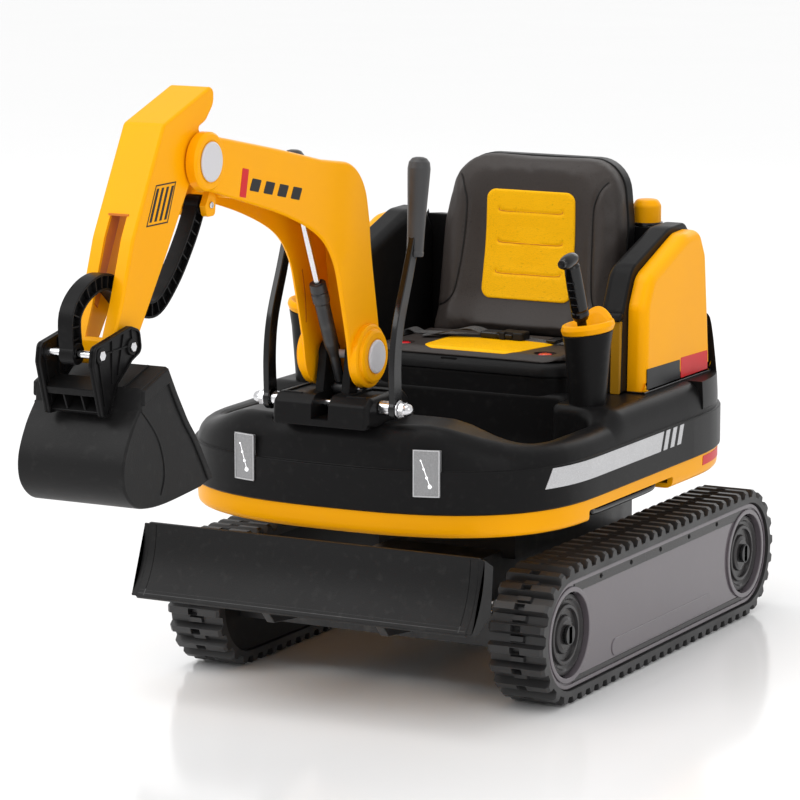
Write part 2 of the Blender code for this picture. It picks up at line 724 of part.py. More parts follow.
def make_lever_axle():
    """The steel axle through the bracket, with a domed nut at each end."""
    half = [(0, 0.1165), (0.006, 0.1155), (0.0095, 0.110), (0.0095, 0.101), (PIN_RADIUS, 0.101)]
    profile = half + [(radius, -along) for radius, along in half[::-1]]
    return turned("lever_axle", profile, "x", LEVER_PIVOT, 16)


def make_lever(name, side):
    """A flat steel bar, cranked at mid height."""
    path = smooth_path([(-0.314, 0.395), (-0.316, 0.450), (-0.308, 0.500), (-0.283, 0.560), (-0.262, 0.612)], 4)
    widths = [0.0105 - 0.003 * i / (len(path) - 1) for i in range(len(path))]
    ends = sorted((side * (LEVER_X - 0.004), side * (LEVER_X + 0.004)))
    lever = prism(name, ribbon(path, widths), "x", *ends)
    join(lever, rod("eye", "x", LEVER_PIVOT, 0.0135, *ends, 16))
    cut(lever, rod("bore", "x", LEVER_PIVOT, PIN_BORE, *sorted((side * 0.08, side * 0.11))))
    return lever


def make_lever_grip(name, side):
    """A long rubber grip, wider at the top, over the bar's end."""
    profile = [(0, 0.001), (0.0115, 0.001), (0.0120, 0.03), (0.0140, 0.07), (0.0150, 0.105),
               (0.0125, 0.121), (0.006, 0.1275), (0, 0.128)]
    grip = turned(name, profile, "z", (0, 0), 16)
    lean = Matrix.Rotation(math.radians(-6), 4, "X")
    grip.data.transform(Matrix.Translation((side * LEVER_X, -0.2625, 0.584)) @ lean)
    bar = smooth_path([(-0.283, 0.560), (-0.2605, 0.615)], 1)
    room = prism("room", ribbon([bar[0], bar[-1]], [0.0085, 0.0085]), "x",
                 *sorted((side * (LEVER_X - 0.0043), side * (LEVER_X + 0.0043))))
    return cut(grip, room)


# ---------------------------------------------------------------- digging arm

BOOM_TOP = [(-0.682, 0.780), (-0.649, 0.772), (-0.508, 0.744), (-0.369, 0.714)]
BOOM_BACK = [(-0.271, 0.585), (-0.255, 0.505)]
BOOM_FRONT = [(-0.338, 0.478), (-0.351, 0.537), (-0.370, 0.588), (-0.408, 0.625)]
BOOM_UNDER = [(-0.484, 0.657), (-0.582, 0.685), (-0.690, 0.7135)]


def boom_outline():
    elbow = arc((-0.353, 0.640), 0.073, 80, 15, 5)
    foot = arc(BOOM_PIVOT, 0.0425, 10, -190, 10)
    return BOOM_TOP + elbow + BOOM_BACK + foot + BOOM_FRONT + BOOM_UNDER


def make_boom():
    """A gooseneck channel, open along its underside, with a forked end and bosses at both pivots."""
    boom = prism("boom", boom_outline(), "x", -BOOM_HALF, BOOM_HALF)
    for side in (LEFT, RIGHT):
        ends = sorted((side * 0.033, side * 0.0505))
        join(boom, rod("foot_boss", "x", BOOM_PIVOT, 0.0415, *ends, 28))
        ends = sorted((side * 0.0305, side * 0.0455))
        join(boom, rod("end_boss", "x", ARM_PIVOT, 0.0355, *ends, 28))
    hollow = [(-0.74, 0.80), (-0.650, 0.80), (-0.644, 0.762), (-0.508, 0.7385), (-0.371, 0.709)]
    hollow += arc((-0.353, 0.640), 0.068, 80, 15, 5)
    hollow += [(-0.276, 0.585), (-0.262, 0.505), (-0.258, 0.40), (-0.36, 0.40), (-0.40, 0.55)]
    hollow += [(-0.45, 0.60), (-0.74, 0.66)]
    cut(boom, prism("channel", hollow, "x", -0.031, 0.031))
    web = [(-0.644, 0.764), (-0.628, 0.760), (-0.640, 0.712), (-0.644, 0.676), (-0.658, 0.676),
           (-0.664, 0.690), (-0.651, 0.712)]
    join(boom, prism("lug_web", web, "x", -0.033, 0.033))
    cut(boom, block("link_room", (-0.012, 0.012), (-0.70, -0.60), (0.60, 0.7255)))
    for side in (LEFT, RIGHT):
        ends = sorted((side * 0.0215, side * 0.0308))
        cut(boom, block("lug_side", ends, (-0.70, -0.60), (0.60, 0.704)))
    cut(boom, rod("arm_bore", "x", ARM_PIVOT, PIN_BORE, -0.1, 0.1))
    cut(boom, rod("foot_bore", "x", BOOM_PIVOT, PIN_BORE, -0.1, 0.1))
    cut(boom, rod("strut_bore", "x", STRUT_TOP, 0.0043, -0.1, 0.1))
    return boom


def capped_pin(name, centre, half, cap_radius):
    """A waisted pin with a flat round cap outside each boss."""
    side = [(0, half + 0.0025), (cap_radius, half + 0.0025), (cap_radius, half + GAP),
            (PIN_RADIUS, half + GAP), (PIN_RADIUS, 0.0128), (PIN_WAIST, 0.0125)]
    profile = side + [(r, -along) for r, along in side[::-1]]
    return turned(name, profile, "x", centre, 24)


def arm_outline():
    head = [(-0.691, 0.786), (-0.672, 0.793), (-0.654, 0.811), (-0.654, 0.827), (-0.662, 0.833)]
    front = [(-0.760, 0.8005), (-0.770, 0.792), (-0.8385, 0.672), (-0.8635, 0.605), (-0.885, 0.556)]
    foot = arc(BUCKET_PIVOT, 0.0225, 200, 330, 6)
    rear = [(-0.818, 0.570), (-0.768, 0.638), (-0.7125, 0.718)]
    eye = arc(ARM_PIVOT, 0.031, 235, 425, 9)
    return head + front + foot + rear + eye


def make_arm():
    """A hollow box arm, closed in front and on top, open behind for the link."""
    arm = prism("arm", arm_outline(), "x", -ARM_HALF, ARM_HALF)
    inside = [(-0.67, 0.786), (-0.67, 0.8245), (-0.759, 0.7935), (-0.766, 0.789), (-0.834, 0.671)]
    inside += [(-0.8585, 0.605), (-0.880, 0.556), (-0.86, 0.50), (-0.76, 0.56), (-0.60, 0.70)]
    cut(arm, prism("hollow", inside, "x", -ARM_HALF + SHELL, ARM_HALF - SHELL))
    cut(arm, block("slot", (-0.0115, 0.0115), (-0.92, -0.80), (0.560, 0.695)))
    cut(arm, rod("pivot_bore", "x", ARM_PIVOT, PIN_BORE, -0.1, 0.1))
    return cut(arm, rod("bucket_bore", "x", BUCKET_PIVOT, PIN_BORE, -0.1, 0.1))


def make_bucket():
    """A thin-walled scoop, open towards the machine."""
    outer = [(-0.838, 0.525), (-0.894, 0.507), (-0.898, 0.484), (-0.920, 0.458), (-0.936, 0.424),
             (-0.934, 0.396), (-0.914, 0.373), (-0.885, 0.365), (-0.840, 0.364), (-0.765, 0.370),
             (-0.740, 0.378), (-0.775, 0.430)]
    inner = [(-0.825, 0.519), (-0.889, 0.502), (-0.893, 0.482), (-0.915, 0.456), (-0.931, 0.423),
             (-0.929, 0.398), (-0.911, 0.378), (-0.884, 0.370), (-0.840, 0.369), (-0.765, 0.3745),
             (-0.73, 0.384), (-0.72, 0.45)]
    bucket = prism("bucket", outer, "x", -BUCKET_HALF, BUCKET_HALF)
    return cut(bucket, prism("inside", inner, "x", -BUCKET_HALF + SHELL, BUCKET_HALF - SHELL))


def make_bucket_bracket():
    """Two side plates and a cross bar that carry the bucket on the arm and the link."""
    plate = [(-0.860, 0.5335), (-0.842, 0.543), (-0.848, 0.565), (-0.865, 0.571), (-0.940, 0.557),
             (-0.943, 0.540), (-0.925, 0.4755), (-0.915, 0.4755), (-0.897, 0.508), (-0.890, 0.5135)]
    bracket = prism("bucket_bracket", plate, "x", -BRACKET_HALF, BRACKET_HALF)
    room = BRACKET_HALF - 0.0078
    cut(bracket, block("gap", (-room, room), (-0.97, -0.80), (0.40, 0.60)))
    bar = [(-0.933, 0.507), (-0.905, 0.5175), (-0.903, 0.513), (-0.931, 0.499)]
    join(bracket, prism("cross_bar", bar, "x", -0.035, 0.035))
    join(bracket, rod("bucket_pin", "x", BUCKET_PIVOT, PIN_RADIUS, -0.035, 0.035))
    return join(bracket, rod("front_pin", "x", LINK_PIN, PIN_RADIUS, -0.035, 0.035))


def make_link():
    """The bent bar from the boom's lug, behind the arm, through its slot to the bracket."""
    knots = [LINK_TOP, (-0.676, 0.652), (-0.716, 0.606), (-0.760, 0.578), (-0.812, 0.590),
             (-0.858, 0.6215), (-0.901, 0.618), (-0.932, 0.592), LINK_PIN]
    path = smooth_path(knots, 3)
    link = prism("bucket_link", ribbon(path, [0.0095] * len(path)), "x", -0.0095, 0.0095)
    join(link, rod("eye", "x", LINK_PIN, 0.0125, -0.0095, 0.0095, 16))
    join(link, rod("top_eye", "x", LINK_TOP, 0.0115, -0.0095, 0.0095, 16))
    join(link, rod("top_pin", "x", LINK_TOP, 0.0035, -0.0118, 0.0118, 10))
    return cut(link, rod("bore", "x", LINK_PIN, PIN_BORE, -0.02, 0.02))


def along_strut(point, name, profile, segments):
    """A shape turned about the strut's own axis, from its foot towards its top."""
    shape = turned(name, profile, "z", (0, 0), segments)
    lean = math.atan2(STRUT_TOP[0] - STRUT_FOOT[0], STRUT_TOP[1] - STRUT_FOOT[1])
    turn = Matrix.Rotation(-lean, 4, "X")
    shape.data.transform(Matrix.Translation((0, *point)) @ turn)
    return shape


def strut_length():
    return math.dist(STRUT_FOOT, STRUT_TOP)


def make_strut_tube():
    """The damper's tube, with a collar at its mouth and an eye on a pin at its foot."""
    mouth = math.dist(STRUT_FOOT, STRUT_LIP)
    profile = [(0, 0.004), (0.005, 0.004), (0.0065, 0.018), (0.0065, 0.052), (0.0095, 0.066),
               (0.0095, mouth - 0.028), (0.0108, mouth - 0.026),
               (0.0108, mouth), (0.0047, mouth), (0.0047, 0.03), (0, 0.03)]
    tube = along_strut(STRUT_FOOT, "strut_tube", profile, 16)
    join(tube, rod("eye", "x", STRUT_FOOT, 0.0085, -0.009, 0.009, 14))
    join(tube, rod("pin", "x", STRUT_FOOT, 0.004, -0.024, 0.024, 12))
    return tube


def make_strut_rod():
    """The bright rod, with an eye on a pin at its top."""
    length = strut_length()
    profile = [(0, 0.05), (0.0042, 0.05), (0.0042, length - 0.004), (0, length - 0.004)]
    rod_shape = along_strut(STRUT_FOOT, "strut_rod", profile, 12)
    join(rod_shape, rod("eye", "x", STRUT_TOP, 0.0085, -0.009, 0.009, 14))
    return rod_shape


# ---------------------------------------------------------------- assembly

def build_undercarriage(model):
    model.add(make_chassis(), "root", "black_steel")
    model.add(make_turntable("turntable_lower", TURNTABLE_Z, 0.2115), "root", "black_plastic")
    model.add(make_axle("axle_front", HUB_FRONT), "root", "black_steel")
    model.add(make_axle("axle_rear", HUB_REAR), "root", "black_steel")
    for word, side in SIDES:
        model.add(make_track_belt("track_belt_" + word, side), "root", "track_rubber")
        model.add(make_track_guard("track_guard_" + word, side), "root", "grey_plastic")
        model.add(make_track_frame("track_frame_" + word, side), "root", "black_plastic")
        model.add(make_drive_unit("drive_unit_" + word, side), "root", "black_plastic")
        for end, y in (("front", HUB_FRONT), ("rear", HUB_REAR)):
            body = "wheel_" + end + "_" + word
            model.add(make_track_wheel(body, side, y), body, "grey_plastic")
    model.add(make_blade(), "blade", "black_plastic")
    for word, side in SIDES:
        model.add(make_blade_arm("blade_arm_" + word, side), "blade", "black_steel")


def build_upper(model):
    model.add(make_turntable("turntable_upper", 0.2118, TRAY_BOTTOM - GAP), "upper", "black_plastic")
    model.add(make_tray(), "upper", "yellow_plastic")
    model.add(make_hull(), "upper", "black_plastic")
    model.add(make_pedestal(), "upper", "black_plastic")
    model.add(make_rear_housing(), "upper", "black_plastic")
    model.add(make_battery(), "upper", "grey_plastic")
    model.add(make_seat_back(), "upper", "seat_vinyl")
    model.add(make_seat_cushion(), "upper", "seat_vinyl")
    model.add(make_lap_belt("lap_belt_left", LEFT, False), "upper", "belt_webbing")
    model.add(make_lap_belt("lap_belt_right", RIGHT, True), "upper", "belt_webbing")
    model.add(make_exhaust(), "upper", "yellow_plastic")
    model.add(make_bracket(), "upper", "black_plastic")
    model.add(make_lever_axle(), "upper", "bright_steel")
    for word, side in SIDES:
        model.add(make_grab_handle("grab_handle_" + word, side), "upper", "black_plastic")
        model.add(make_armrest("armrest_" + word, side), "upper", "black_plastic")
        model.add(make_side_cover("side_cover_" + word, side), "upper", "yellow_plastic")
        model.add(make_pod("joystick_pod_" + word, side), "upper", "black_plastic")
        model.add(make_collar("joystick_collar_" + word, side), "upper", "yellow_plastic")
        model.add(make_joystick("joystick_" + word, side), "joystick_" + word, "black_plastic")
        model.add(make_button("push_button_" + word, side), "button_" + word, "button_red")
        model.add(make_lever("lever_" + word, side), "lever_" + word, "black_steel")
        model.add(make_lever_grip("lever_grip_" + word, side), "lever_" + word, "grip_rubber")


def build_digger(model):
    model.add(make_boom(), "boom", "yellow_plastic")
    model.add(capped_pin("boom_pin", BOOM_PIVOT, 0.0505, 0.028), "upper", "grey_plastic")
    model.add(make_strut_tube(), "strut_tube", "black_steel")
    model.add(make_strut_rod(), "strut_rod", "bright_steel")
    model.add(make_arm(), "arm", "yellow_plastic")
    model.add(capped_pin("arm_pin", ARM_PIVOT, 0.0455, 0.0275), "boom", "grey_plastic")
    model.add(make_bucket(), "bucket", "black_plastic")
    model.add(make_bucket_bracket(), "bucket", "black_plastic")
    model.add(make_link(), "link", "black_plastic")


def main():
    clear_scene()
    model = Model()
    build_undercarriage(model)
    build_upper(model)
    build_digger(model)


main()
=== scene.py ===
"""The looks of a ride-on toy excavator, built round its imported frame.

Pieces are made in machine coordinates, whose Y runs back from under the seat's front. put()
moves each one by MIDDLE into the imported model's frame, and makes it ride on its body.
"""
import math

import bmesh
import bpy
from mathutils import Matrix, Vector
from mathutils.bvhtree import BVHTree


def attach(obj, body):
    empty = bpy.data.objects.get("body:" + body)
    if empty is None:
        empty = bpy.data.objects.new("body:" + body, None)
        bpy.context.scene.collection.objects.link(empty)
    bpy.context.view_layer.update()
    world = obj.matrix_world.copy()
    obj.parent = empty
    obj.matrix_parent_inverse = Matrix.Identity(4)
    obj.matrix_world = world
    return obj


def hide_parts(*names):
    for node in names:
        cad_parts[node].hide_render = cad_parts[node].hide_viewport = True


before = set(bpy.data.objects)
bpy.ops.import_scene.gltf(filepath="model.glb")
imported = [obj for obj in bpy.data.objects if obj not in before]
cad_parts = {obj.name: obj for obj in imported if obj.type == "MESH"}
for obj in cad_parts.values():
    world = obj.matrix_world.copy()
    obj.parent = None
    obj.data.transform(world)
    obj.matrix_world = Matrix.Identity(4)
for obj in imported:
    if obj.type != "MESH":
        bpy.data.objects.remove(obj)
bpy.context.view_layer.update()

MIDDLE = 0.22735
SIDES = (("left", 1), ("right", -1))
SHARP = math.radians(35)


# ---------------------------------------------------------------- outlines

def arc(centre, radius, start, end, steps):
    points = []
    for k in range(steps + 1):
        turn = math.radians(start + (end - start) * k / steps)
        points.append((centre[0] + radius * math.cos(turn), centre[1] + radius * math.sin(turn)))
    return points


def tidy(outline):
    """The outline without points that repeat."""
    kept = []
    for point in outline:
        point = Vector(point)
        if not kept or (point - kept[-1]).length > 1e-6:
            kept.append(point)
    if (kept[0] - kept[-1]).length < 1e-6:
        kept.pop()
    return kept


def inset(outline, distance):
    """The outline moved inwards by a distance."""
    points = tidy(outline)
    n = len(points)
    area = sum(points[i - 1].cross(points[i]) for i in range(n))
    turn = distance if area > 0 else -distance
    moved = []
    for i, point in enumerate(points):
        before = (point - points[i - 1]).normalized()
        after = (points[(i + 1) % n] - point).normalized()
        normal = Vector((-before.y - after.y, before.x + after.x))
        spread = max(0.5, normal.length / 2)
        moved.append(point + normal.normalized() * turn / spread)
    return moved


def fillet(outline, radius, steps=5):
    """The outline with its corners rounded, by one radius or by one for each corner."""
    rounded = []
    n = len(outline)
    for i in range(n):
        wanted = radius[i] if isinstance(radius, (list, tuple)) else radius
        corner = Vector(outline[i])
        back = Vector(outline[i - 1]) - corner
        on = Vector(outline[(i + 1) % n]) - corner
        half = back.angle(on) / 2
        if wanted <= 0 or half > math.radians(88):
            rounded.append(corner)
            continue
        run = min(wanted / math.tan(half), 0.49 * back.length, 0.49 * on.length)
        true_radius = run * math.tan(half)
        back.normalize()
        on.normalize()
        centre = corner + (back + on).normalized() * (true_radius / math.sin(half))
        first = corner + back * run - centre
        last = corner + on * run - centre
        start = math.atan2(first.y, first.x)
        sweep = math.atan2(first.cross(last), first.dot(last))
        for k in range(steps + 1):
            turn = start + sweep * k / steps
            rounded.append(centre + true_radius * Vector((math.cos(turn), math.sin(turn))))
    return rounded


def smooth_path(knots, steps):
    """A Catmull-Rom curve through the knots."""
    path = []
    padded = [knots[0], *knots, knots[-1]]
    for i in range(len(knots) - 1):
        p0, p1, p2, p3 = (Vector(p) for p in padded[i:i + 4])
        for k in range(steps):
            t = k / steps
            path.append(0.5 * (2 * p1 + (p2 - p0) * t + (2 * p0 - 5 * p1 + 4 * p2 - p3) * t * t
                               + (3 * p1 - p0 - 3 * p2 + p3) * t * t * t))
    path.append(Vector(knots[-1]))
    return path


def ribbon(path, half_widths):
    """The outline of a strip along a 2-D path, wide as given at each point."""
    one = []
    two = []
    for i, point in enumerate(path):
        before = Vector(path[max(i - 1, 0)])
        after = Vector(path[min(i + 1, len(path) - 1)])
        along = (after - before).normalized()
        across = Vector((-along.y, along.x)) * half_widths[i]
        one.append(Vector(point) + across)
        two.append(Vector(point) - across)
    return one + two[::-1]


def step_up(low, high, value):
    """0 below low, 1 above high, and smooth between them."""
    t = min(1, max(0, (value - low) / (high - low)))
    return t * t * (3 - 2 * t)


# ---------------------------------------------------------------- meshes

def lay(axis, u, v, along):
    """A point from an outline (u, v) and a distance along the named axis."""
    if axis == "x":
        return (along, u, v)
    if axis == "y":
        return (u, along, v)
    return (u, v, along)


def from_bmesh(name, shape):
    bmesh.ops.recalc_face_normals(shape, faces=shape.faces)
    if shape.calc_volume(signed=True) < 0:
        bmesh.ops.reverse_faces(shape, faces=shape.faces)
    mesh = bpy.data.meshes.new(name)
    shape.to_mesh(mesh)
    shape.free()
    thing = bpy.data.objects.new(name, mesh)
    bpy.context.scene.collection.objects.link(thing)
    return thing


def loft(name, rings, capped=True, looped=False):
    """A skin through rings of points, which all have the same number of points."""
    shape = bmesh.new()
    made = [[shape.verts.new(point) for point in ring] for ring in rings]
    pairs = list(zip(made, made[1:]))
    if looped:
        pairs.append((made[-1], made[0]))
    for low, high in pairs:
        for i in range(len(low)):
            j = (i + 1) % len(low)
            shape.faces.new((low[i], low[j], high[j], high[i]))
    if capped and not looped:
        shape.faces.new(made[0])
        shape.faces.new(made[-1])
    return from_bmesh(name, shape)


def slab(name, outline, axis, start, end, start_round=0.001, end_round=0.001, steps=3):
    """An outline extruded from start to end, with rounded rims of the given radii."""
    outline = tidy(outline)
    way = 1 if end > start else -1
    levels = []
    for k in range(steps + 1):
        turn = math.pi / 2 * k / steps
        levels.append((start_round * (1 - math.sin(turn)), start + way * start_round * (1 - math.cos(turn))))
    for k in range(steps + 1):
        turn = math.pi / 2 * k / steps
        levels.append((end_round * (1 - math.cos(turn)), end - way * end_round * (1 - math.sin(turn))))
    rings = []
    for depth, along in levels:
        rings.append([lay(axis, p[0], p[1], along) for p in (inset(outline, depth) if depth else outline)])
    return loft(name, rings)


def plate(name, outline, axis, start, end):
    """An outline extruded with sharp rims, for cutting with."""
    outline = tidy(outline)
    return loft(name, [[lay(axis, p[0], p[1], along) for p in outline] for along in (start, end)])


def box(name, x, y, z, rounding=0.001):
    """A box from three (low, high) pairs, with all its edges rounded."""
    outline = fillet([(y[0], z[0]), (y[1], z[0]), (y[1], z[1]), (y[0], z[1])], rounding, 3)
    return slab(name, outline, "x", x[0], x[1], rounding * 0.9, rounding * 0.9)


def sharp_box(name, x, y, z):
    return plate(name, [(y[0], z[0]), (y[1], z[0]), (y[1], z[1]), (y[0], z[1])], "x", *x)


def turned(name, profile, axis, centre, segments=48):
    """A closed (radius, along) profile turned about an axis through centre."""
    shape = bmesh.new()
    rings = []
    for radius, along in profile:
        count = 1 if radius == 0 else segments
        ring = []
        for k in range(count):
            turn = 2 * math.pi * k / segments
            u = centre[0] + radius * math.cos(turn)
            v = centre[1] + radius * math.sin(turn)
            ring.append(shape.verts.new(lay(axis, u, v, along)))
        rings.append(ring)
    for i, ring in enumerate(rings):
        after = rings[(i + 1) % len(rings)]
        if len(ring) == 1 and len(after) == 1:
            continue
        for k in range(segments):
            n = (k + 1) % segments
            if len(ring) == 1:
                shape.faces.new((ring[0], after[k], after[n]))
            elif len(after) == 1:
                shape.faces.new((ring[n], ring[k], after[0]))
            else:
                shape.faces.new((ring[k], after[k], after[n], ring[n]))
    return from_bmesh(name, shape)


def soft_profile(profile, radius=0.001, steps=3):
    """A turned profile with its corners rounded, but for those on the axis."""
    radii = [0 if point[0] == 0 else radius for point in profile]
    return [tuple(point) for point in tidy(fillet(profile, radii, steps))]


def rod(name, axis, centre, radius, start, end, rounding=0.0008, segments=32):
    low, high = sorted((start, end))
    profile = soft_profile([(0, low), (radius, low), (radius, high), (0, high)], rounding)
    return turned(name, profile, axis, centre, segments)


def tube(name, path, radii, sides=12):
    """A round bar along a 3-D path."""
    rings = []
    up = None
    for i, point in enumerate(path):
        along = (Vector(path[min(i + 1, len(path) - 1)]) - Vector(path[max(i - 1, 0)])).normalized()
        if up is None:
            up = along.orthogonal().normalized()
        up = (up - along * up.dot(along)).normalized()
        side = along.cross(up)
        radius = radii[i] if isinstance(radii, (list, tuple)) else radii
        ring = []
        for k in range(sides):
            turn = 2 * math.pi * k / sides
            ring.append(Vector(point) + (up * math.cos(turn) + side * math.sin(turn)) * radius)
        rings.append(ring)
    return loft(name, rings)


def apply_modifiers(thing):
    graph = bpy.context.evaluated_depsgraph_get()
    result = bpy.data.meshes.new_from_object(thing.evaluated_get(graph))
    thing.modifiers.clear()
    thing.data = result
    return thing


def boolean(thing, other, operation):
    modifier = thing.modifiers.new("boolean", "BOOLEAN")
    modifier.operation = operation
    modifier.object = other
    modifier.solver = "EXACT"
    apply_modifiers(thing)
    bpy.data.objects.remove(other)
    return thing


def cut(thing, *others):
    for other in others:
        boolean(thing, other, "DIFFERENCE")
    return thing


def join(thing, *others):
    for other in others:
        boolean(thing, other, "UNION")
    return thing


def gather(thing, *others):
    """Puts the other objects' meshes into this one, without joining their surfaces."""
    shape = bmesh.new()
    for one in (thing, *others):
        shape.from_mesh(one.data)
    shape.to_mesh(thing.data)
    shape.free()
    for other in others:
        bpy.data.objects.remove(other)
    return thing


def soften(thing, width, segments=2, angle=40):
    """Rounds the sharp edges of a cut shape."""
    bevel = thing.modifiers.new("bevel", "BEVEL")
    bevel.width = width
    bevel.segments = segments
    bevel.limit_method = "ANGLE"
    bevel.angle_limit = math.radians(angle)
    bevel.use_clamp_overlap = True
    return apply_modifiers(thing)


def turn_about(thing, angle, axis, point):
    thing.data.transform(Matrix.Translation(point) @ Matrix.Rotation(math.radians(angle), 4, axis)
                         @ Matrix.Translation(-Vector(point)))
    return thing


def put(thing, body, look, *nodes, smooth=True):
    """Finishes a piece: shading, material, place, body, and the CAD nodes it stands for."""
    mesh = thing.data
    mesh.transform(Matrix.Translation((0, MIDDLE, 0)))
    if smooth:
        mesh.shade_smooth()
        mesh.set_sharp_from_angle(angle=SHARP)
        weigh = thing.modifiers.new("normals", "WEIGHTED_NORMAL")
        weigh.keep_sharp = True
        apply_modifiers(thing)
        mesh = thing.data
    mesh.materials.clear()
    mesh.materials.append(LOOKS[look][0])
    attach(thing, body)
    if nodes:
        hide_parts(*nodes)
    return thing


# ---------------------------------------------------------------- materials

class Tree:
    """A material's nodes, wired in short steps."""

    def __init__(self, name, **constants):
        self.material = bpy.data.materials.new(name)
        self.material.use_nodes = True
        self.nodes = self.material.node_tree.nodes
        self.links = self.material.node_tree.links
        self.shader = self.nodes["Principled BSDF"]
        self.place = self.nodes.new("ShaderNodeTexCoord").outputs["Object"]
        self.normal = None
        for key, value in constants.items():
            self.shader.inputs[key.replace("_", " ")].default_value = value

    def feed(self, socket, value):
        if isinstance(value, bpy.types.NodeSocket):
            self.links.new(value, socket)
        else:
            socket.default_value = value

    def stretched(self, scale):
        node = self.nodes.new("ShaderNodeMapping")
        node.inputs["Scale"].default_value = scale
        self.links.new(self.place, node.inputs["Vector"])
        return node.outputs["Vector"]

    def noise(self, scale, detail=3, stretch=None, distortion=0):
        node = self.nodes.new("ShaderNodeTexNoise")
        node.inputs["Scale"].default_value = scale
        node.inputs["Detail"].default_value = detail
        node.inputs["Distortion"].default_value = distortion
        self.links.new(self.stretched(stretch) if stretch else self.place, node.inputs["Vector"])
        return node.outputs["Fac"]

    def cells(self, scale, feature="F1", stretch=None):
        node = self.nodes.new("ShaderNodeTexVoronoi")
        node.feature = feature
        node.inputs["Scale"].default_value = scale
        self.links.new(self.stretched(stretch) if stretch else self.place, node.inputs["Vector"])
        return node.outputs["Distance"]

    def bands(self, scale, direction, distortion=0):
        node = self.nodes.new("ShaderNodeTexWave")
        node.bands_direction = direction
        node.inputs["Scale"].default_value = scale
        node.inputs["Distortion"].default_value = distortion
        self.links.new(self.place, node.inputs["Vector"])
        return node.outputs["Fac"]

    def fit(self, value, low, high, to_low, to_high):
        node = self.nodes.new("ShaderNodeMapRange")
        for key, number in (("From Min", low), ("From Max", high), ("To Min", to_low), ("To Max", to_high)):
            node.inputs[key].default_value = number
        self.links.new(value, node.inputs["Value"])
        return node.outputs["Result"]

    def maths(self, operation, a, b):
        node = self.nodes.new("ShaderNodeMath")
        node.operation = operation
        self.feed(node.inputs[0], a)
        self.feed(node.inputs[1], b)
        return node.outputs[0]

    def mix(self, share, a, b):
        node = self.nodes.new("ShaderNodeMix")
        node.data_type = "RGBA"
        self.links.new(share, node.inputs["Factor"])
        for socket, colour in ((node.inputs[6], a), (node.inputs[7], b)):
            self.feed(socket, colour if isinstance(colour, bpy.types.NodeSocket) else (*colour, 1))
        return node.outputs[2]

    def bump(self, height, distance, strength=1):
        node = self.nodes.new("ShaderNodeBump")
        node.inputs["Distance"].default_value = distance
        node.inputs["Strength"].default_value = strength
        self.links.new(height, node.inputs["Height"])
        if self.normal:
            self.links.new(self.normal, node.inputs["Normal"])
        self.normal = node.outputs["Normal"]

    def done(self, colour, roughness):
        self.feed(self.shader.inputs["Base Color"], colour)
        self.feed(self.shader.inputs["Roughness"], roughness)
        if self.normal:
            self.links.new(self.normal, self.shader.inputs["Normal"])
        return self.material


def shade(colour, times):
    return tuple(min(1, c * times) for c in colour)


def moulded(name, colour, roughness, grain=900, depth=0.00006, scuffs=0.35, **constants):
    """Moulded plastic: fine spark-eroded grain, slight flow marks, dust and hairline scratches."""
    tree = Tree(name, **constants)
    flow = tree.noise(6, 3)
    dust = tree.fit(tree.noise(90, 6), 0.56, 0.80, 0, 1)
    base = tree.mix(flow, shade(colour, 0.93), shade(colour, 1.07))
    base = tree.mix(tree.maths("MULTIPLY", dust, 0.025 * scuffs), base, (0.5, 0.48, 0.45))
    scratch = tree.noise(30, 6, (1, 14, 3), 1.5)
    scratch = tree.fit(scratch, 0.64, 0.72, 0, 1)
    rough = tree.fit(tree.noise(12, 3), 0.3, 0.7, roughness - 0.025, roughness + 0.03)
    rough = tree.maths("ADD", rough, tree.maths("MULTIPLY", scratch, 0.05 * scuffs))
    tree.bump(tree.noise(grain, 2), depth)
    tree.bump(flow, 0.0006, 0.15)
    return tree.done(base, rough)


def track_rubber():
    tree = Tree("tread_rubber")
    smear = tree.noise(14, 5)
    grit = tree.fit(tree.cells(320), 0.0, 0.12, 1, 0)
    base = tree.mix(smear, (0.010, 0.010, 0.011), (0.032, 0.031, 0.031))
    base = tree.mix(tree.maths("MULTIPLY", grit, 0.12), base, (0.16, 0.15, 0.14))
    tree.bump(tree.noise(700, 3), 0.00012)
    tree.bump(smear, 0.001, 0.3)
    return tree.done(base, tree.fit(smear, 0.3, 0.7, 0.34, 0.56))


def vinyl(name, colour, light, roughness=0.42, shine=0.26):
    """Stretched vinyl: pebbled leather grain with painted shade in its creases, soft folds and a slight sheen."""
    tree = Tree(name, Specular_IOR_Level=shine)
    pebble = tree.fit(tree.cells(620, "SMOOTH_F1"), 0.1, 0.6, 0, 1)
    crease = tree.fit(tree.cells(420, "DISTANCE_TO_EDGE"), 0, 0.05, 0, 1)
    worn = tree.noise(16, 4)
    base = tree.mix(worn, colour, light)
    # painted shade: the colour darkens to 0.6 of itself along the creases of the grain
    base = tree.mix(crease, shade(colour, 0.6), base)
    tree.bump(crease, 0.00010, 0.8)
    tree.bump(pebble, 0.00008, 0.6)
    tree.bump(tree.noise(22, 3), 0.0016, 0.35)
    return tree.done(base, tree.fit(worn, 0.3, 0.7, roughness - 0.05, roughness + 0.07))


def webbing():
    tree = Tree("woven_webbing", Sheen_Weight=0.3)
    warp = tree.bands(620, "X")
    weft = tree.bands(780, "Y")
    weave = tree.maths("MULTIPLY", warp, weft)
    base = tree.mix(weave, (0.006, 0.006, 0.007), (0.040, 0.040, 0.043))
    base = tree.mix(tree.fit(tree.noise(300, 4), 0.6, 0.8, 0, 0.35), base, (0.10, 0.10, 0.10))
    tree.bump(weave, 0.0004)
    return tree.done(base, tree.fit(weave, 0, 1, 0.85, 0.62))


